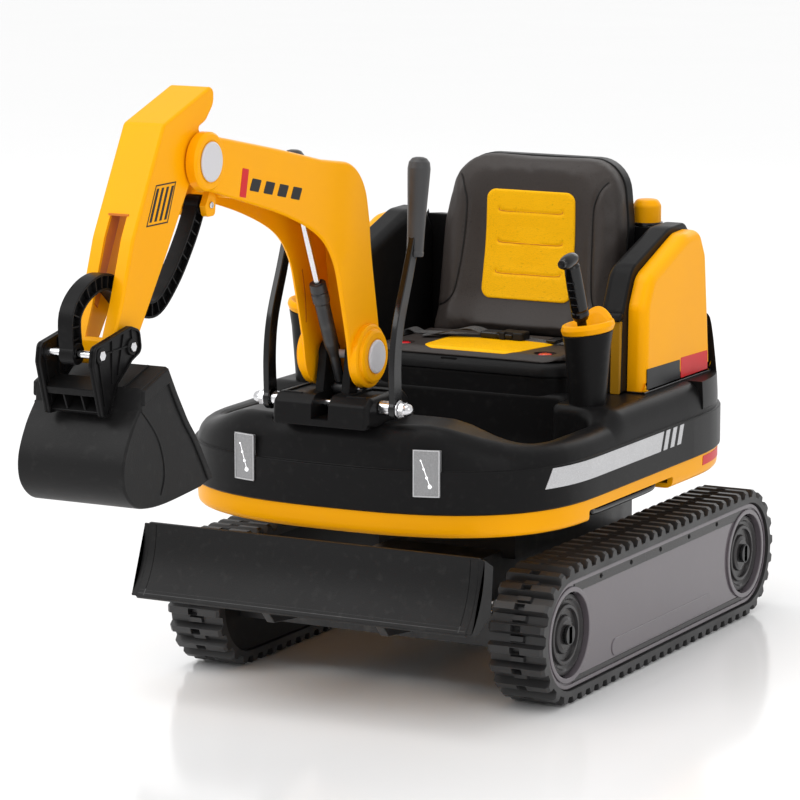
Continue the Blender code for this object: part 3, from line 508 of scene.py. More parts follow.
def coated_steel():
    """Powder coat: orange-peel texture and worn, lighter patches."""
    tree = Tree("powder_coat", Metallic=0.15)
    wear = tree.fit(tree.noise(45, 6), 0.55, 0.72, 0, 1)
    base = tree.mix(wear, (0.018, 0.018, 0.019), (0.045, 0.044, 0.043))
    tree.bump(tree.noise(520, 2), 0.00012)
    return tree.done(base, tree.fit(tree.noise(30, 3), 0.3, 0.7, 0.30, 0.45))


def bright_steel():
    tree = Tree("bright_steel", Metallic=1.0)
    brushed = tree.noise(60, 5, (1, 1, 30))
    base = tree.mix(brushed, (0.52, 0.52, 0.53), (0.80, 0.80, 0.82))
    tree.bump(brushed, 0.00003, 0.5)
    return tree.done(base, tree.fit(tree.noise(90, 4), 0.3, 0.7, 0.12, 0.28))


def grip():
    tree = Tree("grip_rubber", Sheen_Weight=0.15)
    knurl = tree.fit(tree.cells(520), 0.1, 0.5, 1, 0)
    worn = tree.noise(30, 4)
    base = tree.mix(worn, (0.020, 0.020, 0.021), (0.042, 0.041, 0.042))
    tree.bump(knurl, 0.00012, 0.7)
    tree.bump(worn, 0.0005, 0.3)
    return tree.done(base, tree.fit(worn, 0.3, 0.7, 0.42, 0.60))


def foil(name, dark, light):
    """A silver sticker with a fine prismatic pattern."""
    tree = Tree(name, Metallic=0.55)
    prism_cells = tree.cells(900)
    base = tree.mix(prism_cells, (dark, dark, dark * 1.02), (light, light, light * 1.02))
    tree.bump(prism_cells, 0.00005, 0.6)
    return tree.done(base, tree.fit(tree.noise(40, 3), 0.3, 0.7, 0.30, 0.42))


def painted_glow_bead():
    # Painted glow: a crystal-like sticker material that emits white light of its own, though it is no lamp.
    tree = Tree("bead_crystal_painted_glow", Transmission_Weight=0.2, Emission_Strength=0.7)
    tree.shader.inputs["Emission Color"].default_value = (1, 1, 1, 1)
    facet = tree.cells(1400)
    base = tree.mix(facet, (0.85, 0.86, 0.9), (1, 1, 1))
    tree.bump(facet, 0.0001)
    return tree.done(base, tree.fit(facet, 0, 1, 0.08, 0.25))


def red_lens():
    tree = Tree("red_lens", Coat_Weight=0.6)
    depth = tree.noise(120, 3)
    base = tree.mix(depth, (0.55, 0.004, 0.012), (0.85, 0.02, 0.03))
    tree.bump(tree.cells(700), 0.0002, 0.4)
    return tree.done(base, tree.fit(depth, 0.3, 0.7, 0.12, 0.24))


YELLOW = (0.980, 0.405, 0.001)
LOOKS = {
    "yellow": (moulded("yellow_moulding", YELLOW, 0.30, 700, 0.00005, Specular_IOR_Level=0.09), "yellow_plastic"),
    "black": (moulded("black_moulding", (0.0075, 0.0073, 0.0076), 0.34, 800, 0.00010, 0.5, Specular_IOR_Level=0.09),
              "black_plastic"),
    "matt_black": (moulded("matt_black_moulding", (0.0100, 0.0098, 0.0100), 0.46, 600, 0.00015, 0.7,
                           Specular_IOR_Level=0.16), "black_plastic"),
    "gloss_black": (moulded("gloss_black_moulding", (0.004, 0.004, 0.0045), 0.14, 400, 0.00003, 0.3,
                            Specular_IOR_Level=0.34), "black_plastic"),
    "grey": (moulded("grey_gloss_moulding", (0.125, 0.108, 0.121), 0.10, 400, 0.00002, 0.4, Specular_IOR_Level=0.6),
             "grey_plastic"),
    "dark_grey": (moulded("dark_grey_moulding", (0.026, 0.024, 0.025), 0.24, 500, 0.00006, 0.5,
                          Specular_IOR_Level=0.3), "grey_plastic"),
    "cap_white": (moulded("pale_cap_moulding", (0.62, 0.61, 0.63), 0.34, 700, 0.00004, 0.4), "grey_plastic"),
    # painted shade: a darker orange for the lines and slot walls that stand for shade in yellow parts
    "painted_shade_orange": (moulded("shaded_orange_moulding", (0.60, 0.16, 0.003), 0.45, 700, 0.00006), "yellow_plastic"),
    "shaded_yellow": (moulded("shaded_yellow_moulding", (0.34, 0.165, 0.004), 0.40, 700, 0.00006,
                              Specular_IOR_Level=0.25), "yellow_plastic"),
    "rubber": (track_rubber(), "track_rubber"),
    "vinyl": (vinyl("seat_vinyl_dark", (0.032, 0.026, 0.024), (0.048, 0.040, 0.036)), "seat_vinyl"),
    "yellow_vinyl": (vinyl("seat_vinyl_yellow", (1.0, 0.500, 0.001), (1.0, 0.530, 0.002), 0.40, 0.10), "seat_vinyl"),
    # painted shade: a near-black vinyl for the lines laid in the seat's seam grooves
    "seam_shade": (vinyl("seat_seam_shade", (0.007, 0.006, 0.006), (0.012, 0.011, 0.010), 0.5), "seat_vinyl"),
    "webbing": (webbing(), "belt_webbing"),
    "steel": (coated_steel(), "black_steel"),
    "chrome": (bright_steel(), "bright_steel"),
    "grip": (grip(), "grip_rubber"),
    "foil": (foil("silver_foil", 0.42, 0.62), "bright_steel"),
    "lamp_plate": (foil("lamp_foil", 0.20, 0.36), "bright_steel"),
    # painted highlight: the printed head-lamp beads emit light, though they are no lamp
    "lamp": (painted_glow_bead(), "bright_steel"),
    "red": (red_lens(), "button_red"),
    "red_decal": (moulded("red_decal_film", (0.62, 0.010, 0.014), 0.34, 900, 0.00002, 0.3, Specular_IOR_Level=0.2),
                  "button_red"),
    "black_decal": (moulded("black_decal_film", (0.007, 0.007, 0.008), 0.34, 900, 0.00002, 0.3,
                            Specular_IOR_Level=0.2), "black_plastic"),
}


# ---------------------------------------------------------------- tracks

HUB_FRONT = -0.178
HUB_REAR = 0.397
HUB_Z = 0.0915
TREAD_ROOT = 0.081
TREAD_HEIGHT = 0.0105
TREAD_BARS = 64
BELT_INSIDE = 0.073
TRACK_IN = 0.2003
TRACK_OUT = 0.28
WINDOW = 0.0565


def racetrack(radius, steps=24):
    """The outline around both hubs at this radius."""
    return (arc((HUB_FRONT, HUB_Z), radius, 90, 270, steps)
            + arc((HUB_REAR, HUB_Z), radius, 270, 450, steps))


def belt_point(distance, height):
    """A point this far round the belt, and this high above the tread's root."""
    span = HUB_REAR - HUB_FRONT
    half_turn = math.pi * TREAD_ROOT
    distance %= 2 * (span + half_turn)
    radius = TREAD_ROOT + height
    if distance < span:
        return (HUB_REAR - distance, HUB_Z + radius)
    distance -= span
    if distance < half_turn:
        turn = math.pi / 2 + distance / TREAD_ROOT
        return (HUB_FRONT + radius * math.cos(turn), HUB_Z + radius * math.sin(turn))
    distance -= half_turn
    if distance < span:
        return (HUB_FRONT + distance, HUB_Z - radius)
    turn = -math.pi / 2 + (distance - span) / TREAD_ROOT
    return (HUB_REAR + radius * math.cos(turn), HUB_Z + radius * math.sin(turn))


def tread_height(u, v):
    """Tread height at a share u of one bar's pitch and a share v of the belt's width."""
    bar = step_up(0.01, 0.13, u) * (1 - step_up(0.47, 0.60, u))
    middle = step_up(0.365, 0.385, v) * (1 - step_up(0.615, 0.635, v))
    pocket = step_up(0.41, 0.43, v) * (1 - step_up(0.57, 0.59, v)) * step_up(0.16, 0.20, u)
    pocket *= 1 - step_up(0.42, 0.46, u)
    bridge = middle * step_up(0.60, 0.66, u) * (1 - step_up(0.90, 0.98, u)) * 0.42
    edge = 0.72 + 0.28 * step_up(0.0, 0.05, min(v, 1 - v))
    return TREAD_HEIGHT * (max(bar * (1 - 0.75 * pocket), bridge) * edge)


def tread_belt(name, side):
    """The belt: lugged outside with a pocket in each bar, plain inside."""
    pitch = 2 * (HUB_REAR - HUB_FRONT + math.pi * TREAD_ROOT) / TREAD_BARS
    marks_u = (0.01, 0.07, 0.13, 0.16, 0.20, 0.42, 0.46, 0.53, 0.60, 0.66, 0.90, 0.98)
    marks_v = (0, 0.02, 0.05, 0.365, 0.385, 0.41, 0.43, 0.57, 0.59, 0.615, 0.635, 0.95, 0.98, 1)
    rings = []
    for bar in range(TREAD_BARS):
        for u in marks_u:
            ring = []
            for v in marks_v:
                y, z = belt_point((bar + u) * pitch, tread_height(u, v))
                ring.append((side * (TRACK_IN + v * (TRACK_OUT - TRACK_IN)), y, z))
            for v in (1, 0):
                y, z = belt_point((bar + u) * pitch, BELT_INSIDE - TREAD_ROOT)
                ring.append((side * (TRACK_IN + v * (TRACK_OUT - TRACK_IN)), y, z))
            rings.append(ring)
    return loft(name, rings, looped=True)


def ring_plate(name, centre, outer, inner, start, end, rounding=0.0008):
    low, high = sorted((start, end))
    profile = soft_profile([(inner, low), (outer, low), (outer, high), (inner, high)], rounding)
    return turned(name, profile, "x", centre, 64)


def guard_plate(name, side):
    """The outer plate, its rim, the collars round both hubs, and the long raised panel."""
    guard = slab(name, racetrack(0.0722), "x", side * 0.2655, side * 0.2738, 0.001, 0.001)
    rim = slab("rim", racetrack(0.0722), "x", side * 0.2700, side * 0.2765, 0.001, 0.0022)
    cut(rim, plate("inside", racetrack(0.0660), "x", side * 0.26, side * 0.29))
    bar = fillet([(-0.047, 0.034), (0.27, 0.034), (0.276, 0.058), (-0.047, 0.058)], [0.012, 0.004, 0.004, 0.012])
    panel = slab("panel", bar, "x", side * 0.2720, side * 0.2752, 0.001, 0.0014)
    for y in (HUB_FRONT, HUB_REAR):
        for shape, start, end in ((guard, 0.26, 0.28), (rim, 0.26, 0.28)):
            cut(shape, rod("window", "x", (y, HUB_Z), WINDOW, side * start, side * end, 0, 64))
    collars = [ring_plate("collar", (y, HUB_Z), 0.0635, WINDOW, side * 0.2725, side * 0.2768, 0.0012)
               for y in (HUB_FRONT, HUB_REAR)]
    return gather(guard, rim, panel, *collars)


def guard_strip(name, side, low, high, top=0.2750):
    """A long band along the plate, between two heights and the hub collars."""
    clear = 0.066
    inner = low if low > HUB_Z else high
    gap = math.sqrt(max(0, clear ** 2 - (inner - HUB_Z) ** 2))
    front = HUB_FRONT + gap * 0.35
    rear = HUB_REAR - gap * 0.35
    outline = [(front, low), (rear, low), (rear, high), (front, high)]
    return slab(name, fillet(outline, 0.002), "x", side * 0.2725, side * top, 0.0005, 0.0008)


def hub_disc(name, side, y):
    """The wheel with its stepped rings, as they show in the guard's window."""
    rings = [(0.0083, 0.2165), (0.0705, 0.2165), (0.0712, 0.2615), (0.0540, 0.2615), (0.0535, 0.2700),
             (0.0480, 0.2712), (0.0450, 0.2680), (0.0410, 0.2668), (0.0395, 0.2705), (0.0350, 0.2708),
             (0.0335, 0.2660), (0.0260, 0.2650), (0.0245, 0.2690), (0.0190, 0.2705), (0.0083, 0.2705)]
    rings = soft_profile(rings, 0.0008, 2)
    return turned(name, [(r, side * along) for r, along in rings], "x", (y, HUB_Z), 64)


def hub_cap(name, side, y):
    """The dark axle cap, a rounded bar across a disc."""
    cap = rod(name, "x", (y, HUB_Z), 0.0130, side * 0.2706, side * 0.2750, 0.0012, 48)
    bar = fillet([(y - 0.0058, HUB_Z - 0.0125), (y + 0.0058, HUB_Z - 0.0125), (y + 0.0058, HUB_Z + 0.0125),
                  (y - 0.0058, HUB_Z + 0.0125)], 0.003)
    return gather(cap, slab("bar", bar, "x", side * 0.2740, side * 0.2768, 0.0004, 0.0012))


def screw_heads(name, places, axis, start, end, radius=0.0032):
    """Recessed cross-head screws at (u, v) places."""
    made = []
    way = 1 if end > start else -1
    for u, v in places:
        head = rod("head", axis, (u, v), radius, start, end, 0.0008, 20)
        for wide, tall in ((0.75, 0.18), (0.18, 0.75)):
            w = radius * wide
            t = radius * tall
            slot = [(u - w, v - t), (u + w, v - t), (u + w, v + t), (u - w, v + t)]
            cut(head, plate("slot", slot, axis, end - way * 0.0009, end + way * 0.001))
        made.append(head)
    whole = made[0]
    whole.name = name
    return gather(whole, *made[1:])


def make_tracks():
    for word, side in SIDES:
        put(tread_belt("belt_" + word, side), "root", "rubber", "track_belt_" + word)
        put(guard_plate("guard_" + word, side), "root", "grey", "track_guard_" + word)
        put(guard_strip("guard_top_strip_" + word, side, 0.1440, 0.1575), "root", "dark_grey")
        put(guard_strip("guard_low_strip_" + word, side, 0.0225, 0.0325, 0.2747), "root", "dark_grey")
        rivets = [(y, 0.1520) for y in (-0.083, 0.0115, 0.106, 0.2010, 0.296)]
        put(screw_heads("guard_rivets_" + word, rivets, "x", side * 0.2735, side * 0.2760), "root", "black")
        for end, y in (("front", HUB_FRONT), ("rear", HUB_REAR)):
            wheel = "wheel_%s_%s" % (end, word)
            put(hub_disc("hub_%s_%s" % (end, word), side, y), wheel, "dark_grey", wheel)
            put(hub_cap("axle_cap_%s_%s" % (end, word), side, y), wheel, "gloss_black")
    for node in ("axle_front", "axle_rear", "turntable_lower", "turntable_upper"):
        dress(node, "steel")


def dress(node, look):
    """Gives a CAD node that keeps its own shape a finished material."""
    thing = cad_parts[node]
    thing.data.materials.clear()
    thing.data.materials.append(LOOKS[look][0])


def rounded_copy(node, body, look, width=0.0015):
    """A CAD node's shape with its edges rounded, standing for it."""
    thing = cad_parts[node].copy()
    thing.data = thing.data.copy()
    thing.name = node + "_finish"
    for key in list(thing.keys()):
        del thing[key]
    thing.parent = None
    bpy.context.scene.collection.objects.link(thing)
    shape = bmesh.new()
    shape.from_mesh(thing.data)
    bmesh.ops.remove_doubles(shape, verts=shape.verts, dist=0.00002)
    bmesh.ops.dissolve_limit(shape, angle_limit=math.radians(1), verts=shape.verts, edges=shape.edges)
    bmesh.ops.translate(shape, verts=shape.verts, vec=(0, -MIDDLE, 0))
    shape.to_mesh(thing.data)
    shape.free()
    soften(thing, width)
    return put(thing, body, look, node)


# ---------------------------------------------------------------- chassis and blade

BLADE_PIVOT = (-0.226, 0.105)


def make_chassis():
    rounded_copy("chassis_frame", "root", "steel", 0.002)
    for word, side in SIDES:
        rounded_copy("track_frame_" + word, "root", "matt_black", 0.0015)
        rounded_copy("drive_unit_" + word, "root", "black", 0.003)
        fins = [box("fin", sorted((side * 0.145, side * 0.196)), (y, y + 0.0022), (0.090, 0.1345), 0.0006)
                for y in (0.290, 0.302, 0.314, 0.326)]
        put(gather(fins[0], *fins[1:]), "root", "black").name = "motor_fins_" + word
        bolts = [(-0.195, 0.098), (-0.160, 0.098)]
        heads = [rod("bolt", "z", (side * 0.17, y), 0.005, 0.1139, 0.1175, 0.0012, 6) for y, _ in bolts]
        put(gather(heads[0], *heads[1:]), "root", "chrome").name = "beam_bolts_" + word


def make_blade():
    """A leaning curved mouldboard with a rolled top, a fold near each end, and end plates."""
    centre = (-0.497, 0.222)
    face = arc(centre, 0.1225, -45, 2, 20)
    back = arc(centre, 0.1290, 2, -45, 20)
    board = slab("mouldboard", fillet(face + back, 0.0012, 2), "x", -0.2420, 0.2420, 0.001, 0.001)
    for side in (1, -1):
        crease = arc(centre, 0.1217, -44, 1, 16) + arc(centre, 0.1232, 1, -44, 16)
        cut(board, plate("crease", crease, "x", side * 0.2300, side * 0.2312))
    put(board, "blade", "matt_black", "blade")
    lip = [belt for belt in arc(centre, 0.1288, -44.5, -40, 4)]
    edge = slab("blade_cutting_edge", fillet(lip + arc(centre, 0.1225, -39, -44.5, 4), 0.0008, 2), "x",
                -0.2405, 0.2405, 0.001, 0.001)
    put(edge, "blade", "steel")
    for word, side in SIDES:
        front = arc(centre, 0.1228, -45, 2, 16)
        cheek = fillet(front + [(-0.347, 0.212), (-0.353, 0.150), (-0.391, 0.131)], 0.004, 3)
        put(slab("blade_end_" + word, cheek, "x", side * 0.2412, side * 0.2495, 0.001, 0.0018), "blade", "matt_black")
        rounded_copy("blade_arm_" + word, "blade", "steel", 0.0015)
        stiffener = slab("blade_rib_" + word, fillet([(-0.377, 0.140), (-0.366, 0.207), (-0.352, 0.196),
                         (-0.357, 0.150)], 0.003), "x", side * 0.140, side * 0.144, 0.0008, 0.0008)
        put(stiffener, "blade", "matt_black")
        bolt = rod("blade_pivot_bolt_" + word, "x", BLADE_PIVOT, 0.0085, side * 0.0900, side * 0.0955, 0.0015, 6)
        put(bolt, "blade", "chrome")


# ---------------------------------------------------------------- upper body shell

TRAY_BOTTOM = 0.231
TRAY_TOP = 0.262
HULL_HALF_WIDTH = 0.282
HULL_FRONT = -0.338
HULL_REAR = 0.435
CREASE_Z = 0.318
HOOD_Z = 0.374
DECK_Z = 0.344
REAR_DECK_Z = 0.3625
WELL_FLOOR = 0.285
WELL_HALF = 0.236
WELL_CENTRE = Vector((0, -0.09))


def hull_outline(depth, steps=28):
    """The body's plan: a bowed front and rounded rear corners."""
    half = HULL_HALF_WIDTH - depth
    corners = ((-0.10, -0.10 - HULL_FRONT - depth, 2.6, 180), (0.20, HULL_REAR - 0.20 - depth, 2.9, 0))
    points = []
    for middle, reach, power, start in corners:
        for k in range(2 * steps + 1):
            turn = math.radians(start + 180 * k / (2 * steps))
            c = math.cos(turn)
            s = math.sin(turn)
            x = half * math.copysign(abs(c) ** (2 / power), c)
            y = middle + reach * math.copysign(abs(s) ** (2 / power), s)
            points.append((x, y))
    return points


def well_outline():
    """The foot well's plan: wide in front, with a neck between the joystick pods."""
    half = [(WELL_HALF, -0.225), (WELL_HALF, -0.022), (0.168, -0.022), (0.165, 0.0535)]
    corners = half + [(-x, y) for x, y in half[::-1]]
    radii = [0.055, 0.042, 0.016, 0.024]
    return fillet(corners, radii + radii[::-1], 10)


def deck_height(x, y):
    """The top surface: a crowned hood in front, low rims, and a raised rear deck."""
    hood = (HOOD_Z - DECK_Z) * (1 - step_up(0.125, 0.245, abs(x))) * (1 - step_up(-0.228, -0.150, y))
    rear = (REAR_DECK_Z - DECK_Z) * step_up(-0.058, -0.010, y)
    return DECK_Z + hood + rear


def outline_at(outline, angles):
    """Where rays from the well's centre meet an outline round it."""
    points = [Vector(p) - WELL_CENTRE for p in tidy(outline)]
    met = []
    for angle in angles:
        ray = Vector((math.cos(angle), math.sin(angle)))
        best = 0
        for i, b in enumerate(points):
            a = points[i - 1]
            edge = b - a
            across = ray.cross(edge)
            if abs(across) < 1e-12:
                continue
            far = a.cross(edge) / across
            share = a.cross(ray) / across
            if far > best and -1e-6 <= share <= 1 + 1e-6:
                best = far
        met.append(WELL_CENTRE + ray * best)
    return met


def make_hull():
    """One moulded shell: skirt, ledge, tapering shoulder, deck, rolled well rim, well."""
    well = well_outline()
    angles = sorted({round(math.atan2(p[1] - WELL_CENTRE.y, p[0] - WELL_CENTRE.x), 4)
                     for p in well + [Vector(q) for q in hull_outline(0, 14)]})
    steps = []
    for angle in angles:
        if not steps or angle - steps[-1] > 0.004:
            steps.append(angle)
    angles = steps

    def plan(depth):
        return outline_at(hull_outline(depth), angles)

    def rim(depth):
        return outline_at(inset(well, depth), angles)

    def at(points, height):
        return [(p.x, p.y, height(p) if callable(height) else height) for p in points]

    def deck(p, share=1.0):
        return 0.3205 + (deck_height(p.x, p.y) - 0.3205) * share

    rings = [at(plan(0.006), 0.2665), at(plan(0.006), 0.2626), at(plan(0.0018), 0.2626), at(plan(0), 0.2645),
             at(plan(0), 0.3172), at(plan(0.0005), 0.3184), at(plan(0.0012), 0.3189), at(plan(0.0036), 0.3193),
             at(plan(0.0042), 0.3200), at(plan(0.0044), 0.3215)]
    for depth, share in ((0.0060, 0.28), (0.0084, 0.52), (0.0120, 0.72), (0.0168, 0.87), (0.0226, 0.965),
                         (0.0290, 0.998)):
        rings.append(at(plan(depth), lambda p, s=share: deck(p, s)))
    outer = plan(0.031)
    inner = rim(-0.009)
    for k in range(7):
        between = [a.lerp(b, k / 6) for a, b in zip(outer, inner)]
        rings.append(at(between, deck))
    for depth, drop in ((-0.0062, 0.0005), (-0.0034, 0.0019), (-0.0013, 0.0042), (-0.0003, 0.0072), (0, 0.0105)):
        rings.append(at(rim(depth), lambda p, d=drop: deck(p) - d))
    rings += [at(rim(0.0004), 0.305), at(rim(0.0010), 0.2925), at(rim(0.0030), 0.2880),
              at(rim(0.0065), 0.2857), at(rim(0.012), WELL_FLOOR), at(rim(0.030), WELL_FLOOR)]
    shell = loft("hull_shell", rings[::-1])
    return put(shell, "upper", "black", "hull")


def well_details():
    """Tread bars on the well's floor, and a screw at each front corner."""
    bars = []
    for side in (1, -1):
        for k in range(7):
            y = -0.186 + 0.019 * k
            bars.append(box("bar", sorted((side * 0.060, side * 0.190)), (y, y + 0.007), (0.2846, 0.2864), 0.0008))
    put(gather(bars[0], *bars[1:]), "upper", "black").name = "well_tread"
    put(screw_heads("well_screws", [(0.214, -0.196), (-0.214, -0.196)], "z", 0.2990, 0.3060, 0.0075),
        "upper", "gloss_black")


def make_tray():
    """The yellow floor tray: a rolled lower edge, and a notch each side for a handle."""
    outer = [(0.0160, TRAY_BOTTOM), (0.0108, 0.2315), (0.0075, 0.2330), (0.0052, 0.2355), (0.0042, 0.2390),
             (0.0038, 0.2440), (0.0036, TRAY_TOP)]
    inner = [(0.012, TRAY_TOP), (0.012, 0.2375)]
    rings = [[(x, y, z) for x, y in hull_outline(depth)] for depth, z in outer + inner]
    tray = loft("tray_shell", rings)
    for side in (1, -1):
        notch = [(-0.128, 0.2475), (-0.117, 0.20), (0.127, 0.20), (0.138, 0.2475)]
        notch = fillet(notch, [0.004, 0, 0, 0.004])
        cut(tray, plate("notch", notch, "x", side * 0.2330, side * 0.30))
    cut(tray, rod("hole", "z", (0, 0.11), 0.05, 0.20, 0.30, 0, 48))
    soften(tray, 0.0008)
    put(tray, "upper", "yellow", "base_tray")
    for word, side in SIDES:
        lip = box("notch_lip_" + word, sorted((side * 0.2335, side * 0.2765)), (-0.126, 0.136), (0.2470, 0.2530), 0.0015)
        put(lip, "upper", "black")
        path = smooth_path([(side * 0.262, -0.094, 0.2505), (side * 0.262, -0.092, 0.2420),
                            (side * 0.262, -0.080, 0.2375), (side * 0.262, 0.0, 0.2370),
                            (side * 0.262, 0.090, 0.2375), (side * 0.262, 0.102, 0.2420),
                            (side * 0.262, 0.104, 0.2505)], 5)
        put(tube("grab_bar_" + word, path, 0.0053, 16), "upper", "gloss_black", "grab_handle_" + word)
        ribs = [box("rib", sorted((side * 0.2340, side * 0.2400)), (y, y + 0.003), (0.2320, 0.2470), 0.0006)
                for y in (-0.10, -0.05, 0.0, 0.05, 0.10)]
        put(gather(ribs[0], *ribs[1:]), "upper", "black").name = "notch_ribs_" + word


def skin_point(depth, along_y, side):
    """The x of the body's side at an inset from its widest outline and a place along it."""
    outline = [Vector(p) for p in hull_outline(depth, 60)]
    best = 0
    for i, b in enumerate(outline):
        a = outline[i - 1]
        if min(a.y, b.y) <= along_y <= max(a.y, b.y) and a.y != b.y:
            x = a.x + (b.x - a.x) * (along_y - a.y) / (b.y - a.y)
            if x * side > best * side:
                best = x
    return best


def side_film(name, corners, side, steps, depth=0.0, thick=0.0005):
    """A thin film on the body's side, between a low and a high line of (y, z) corners."""
    low_a, low_b, high_b, high_a = (Vector(corner) for corner in corners)
    rings = []
    for k in range(steps + 1):
        low = low_a.lerp(low_b, k / steps)
        high = high_a.lerp(high_b, k / steps)
        front = [low.lerp(high, m / 6) for m in range(7)]
        skin = [skin_point(depth, place.x, side) for place in front]
        outer = [(x + side * thick, place.x, place.y) for x, place in zip(skin, front)]
        inner = [(x - side * 0.0006, place.x, place.y) for x, place in zip(skin, front)]
        rings.append(outer + inner[::-1])
    return loft(name, rings)


def make_side_stripe():
    """The silver flash along each side, with three slanted bars behind it."""
    for word, side in SIDES:
        films = [side_film("flash", [(-0.224, 0.2905), (0.0865, 0.2905), (0.0965, 0.3165), (-0.212, 0.3165)], side, 48)]
        for k in range(3):
            y = 0.0950 + 0.0225 * k
            films.append(side_film("bar", [(y, 0.2905), (y + 0.0125, 0.2905), (y + 0.0225, 0.3165),
                                           (y + 0.0100, 0.3165)], side, 4))
        put(gather(films[0], *films[1:]), "upper", "foil", smooth=False).name = "side_flash_" + word
        tag = side_film("rear_tag_" + word, [(0.236, 0.2462), (0.322, 0.2462), (0.324, 0.2590), (0.238, 0.2590)], side,
                        24, 0.0037)
        put(tag, "upper", "red_decal", smooth=False)


def front_point(x, z):
    """The y of the hull's front at a place across it."""
    depth = 0 if z < CREASE_Z else 0.0044 + (z - 0.3205) * 0.10
    outline = [Vector(p) for p in hull_outline(depth, 60)]
    best = 0
    for i, b in enumerate(outline):
        a = outline[i - 1]
        if min(a.x, b.x) <= x <= max(a.x, b.x) and a.x != b.x:
            y = a.y + (b.y - a.y) * (x - a.x) / (b.x - a.x)
            best = min(best, y)
    return best


def lamp_ring(x, low, high, near, far):
    """A band's cross-section just off the hull's front, in the plane across x."""
    y = front_point(x, 0.30)
    return [(x, y - far, low), (x, y - near, low), (x, y - near, high), (x, y - far, high)]


def make_head_lamps():
    """A silver lamp plate each side of the front, with a slanted row of printed beads that glow as a painted highlight.
    """
    for word, centre in (("left", 0.141), ("right", -0.124)):
        columns = [centre - 0.0165 + 0.0055 * k for k in range(7)]
        lamp = loft("head_lamp_" + word, [lamp_ring(x, 0.287, 0.347, -0.004, 0.0016) for x in columns])
        soften(lamp, 0.0008)
        put(lamp, "upper", "lamp_plate")
        bars = []
        for low, high in ((0.2865, 0.2880), (0.3460, 0.3475)):
            bars.append(loft("bar", [lamp_ring(x, low, high, 0.001, 0.0023) for x in columns]))
        for x in (columns[0] + 0.0007, columns[-1] - 0.0007):
            bars.append(loft("bar", [lamp_ring(x + shift, 0.287, 0.347, 0.001, 0.0023) for shift in (-0.0007, 0.0007)]))
        put(gather(bars[0], *bars[1:]), "upper", "foil", smooth=False).name = "lamp_frame_" + word
        beads = []
        ends = []
        for k, radius in enumerate((0.0012, 0.0016, 0.0020, 0.0031)):
            x = centre - 0.0068 + 0.0038 * k
            place = Vector((x, front_point(x, 0.30) - 0.0016, 0.334 - 0.0112 * k))
            bead = turned("bead", soft_profile([(0, -0.0014), (radius, -0.0009), (radius * 0.7, 0), (0, 0.0004)],
                                               0.0004), "y", (0, 0), 20)
            bead.data.transform(Matrix.Translation(place))
            beads.append(bead)
            ends.append(place + Vector((0, 0.0001, 0)))
        beads.append(tube("streak", [ends[0], ends[1], ends[2], ends[3]], 0.0005, 8))
        # painted highlight: the printed beads and their streak glow, though they are no lamp
        put(gather(beads[0], *beads[1:]), "upper", "lamp").name = "lamp_beads_" + word


# ---------------------------------------------------------------- seat box, covers and pods

def round_rect(half_x, y, radius):
    return fillet([(half_x, y[0]), (half_x, y[1]), (-half_x, y[1]), (-half_x, y[0])], radius, 8)


def make_pedestal():
    """The seat box: a curved front, a groove under its lid, and a lid with a rolled edge."""
    radii = [0.050, 0.040, 0.040, 0.050]
    lid = round_rect(0.1655, (0.0500, 0.318), radii)
    levels = [(0.0060, 0.2875), (0.0048, 0.330), (0.0040, 0.3790), (0.0046, 0.3815), (0.0046, 0.3828),
              (0.0012, 0.3836), (0.0002, 0.3846), (0.0, 0.3870), (0.0012, 0.3935), (0.0038, 0.3985),
              (0.0078, 0.4012), (0.0130, 0.4020)]
    rings = [[(p.x, p.y, z) for p in inset(lid, depth)] for depth, z in levels]
    seat_box = loft("seat_box", rings)
    for side in (1, -1):
        cut(seat_box, rod("hole", "z", (side * 0.109, 0.086), 0.0165, 0.3955, 0.42, 0, 40))
    slot = fillet([(-0.035, 0.0535), (-0.010, 0.0535), (-0.010, 0.0565), (-0.035, 0.0565)], 0.0012)
    cut(seat_box, plate("slot", slot, "z", 0.395, 0.42))
    put(seat_box, "upper", "black", "seat_pedestal")
    for word, side in SIDES:
        place = (side * 0.109, 0.086)
        bezel = soft_profile([(0.0120, 0.3990), (0.0160, 0.3990), (0.0160, 0.4036), (0.0135, 0.4052),
                              (0.0120, 0.4044)], 0.0006, 2)
        put(turned("button_bezel_" + word, bezel, "z", place), "upper", "gloss_black")
        cap = [(0, 0.4000), (0.0105, 0.4000), (0.0112, 0.4062), (0.0106, 0.4092), (0.0080, 0.4110), (0, 0.4118)]
        put(turned("button_cap_" + word, soft_profile(cap, 0.0008), "z", place), "button_" + word, "red",
            "push_button_" + word)


REAR_DECK_TOP = 0.3628


def cover_outline():
    points = [(0.1085, REAR_DECK_TOP), (0.1115, 0.480), (0.1330, 0.520), (0.2500, 0.5640), (0.2960, 0.5660),
              (0.3165, 0.530), (0.3345, REAR_DECK_TOP)]
    return fillet(points, [0.002, 0.030, 0.030, 0.060, 0.020, 0.030, 0.002], 8)


def armrest_outline():
    points = [(0.0905, REAR_DECK_TOP), (0.0960, 0.472), (0.1240, 0.5310), (0.2480, 0.5728), (0.3000, 0.5740),
              (0.3212, 0.545), (0.3212, REAR_DECK_TOP)]
    return fillet(points, [0.002, 0.035, 0.035, 0.060, 0.022, 0.020, 0.002], 8)


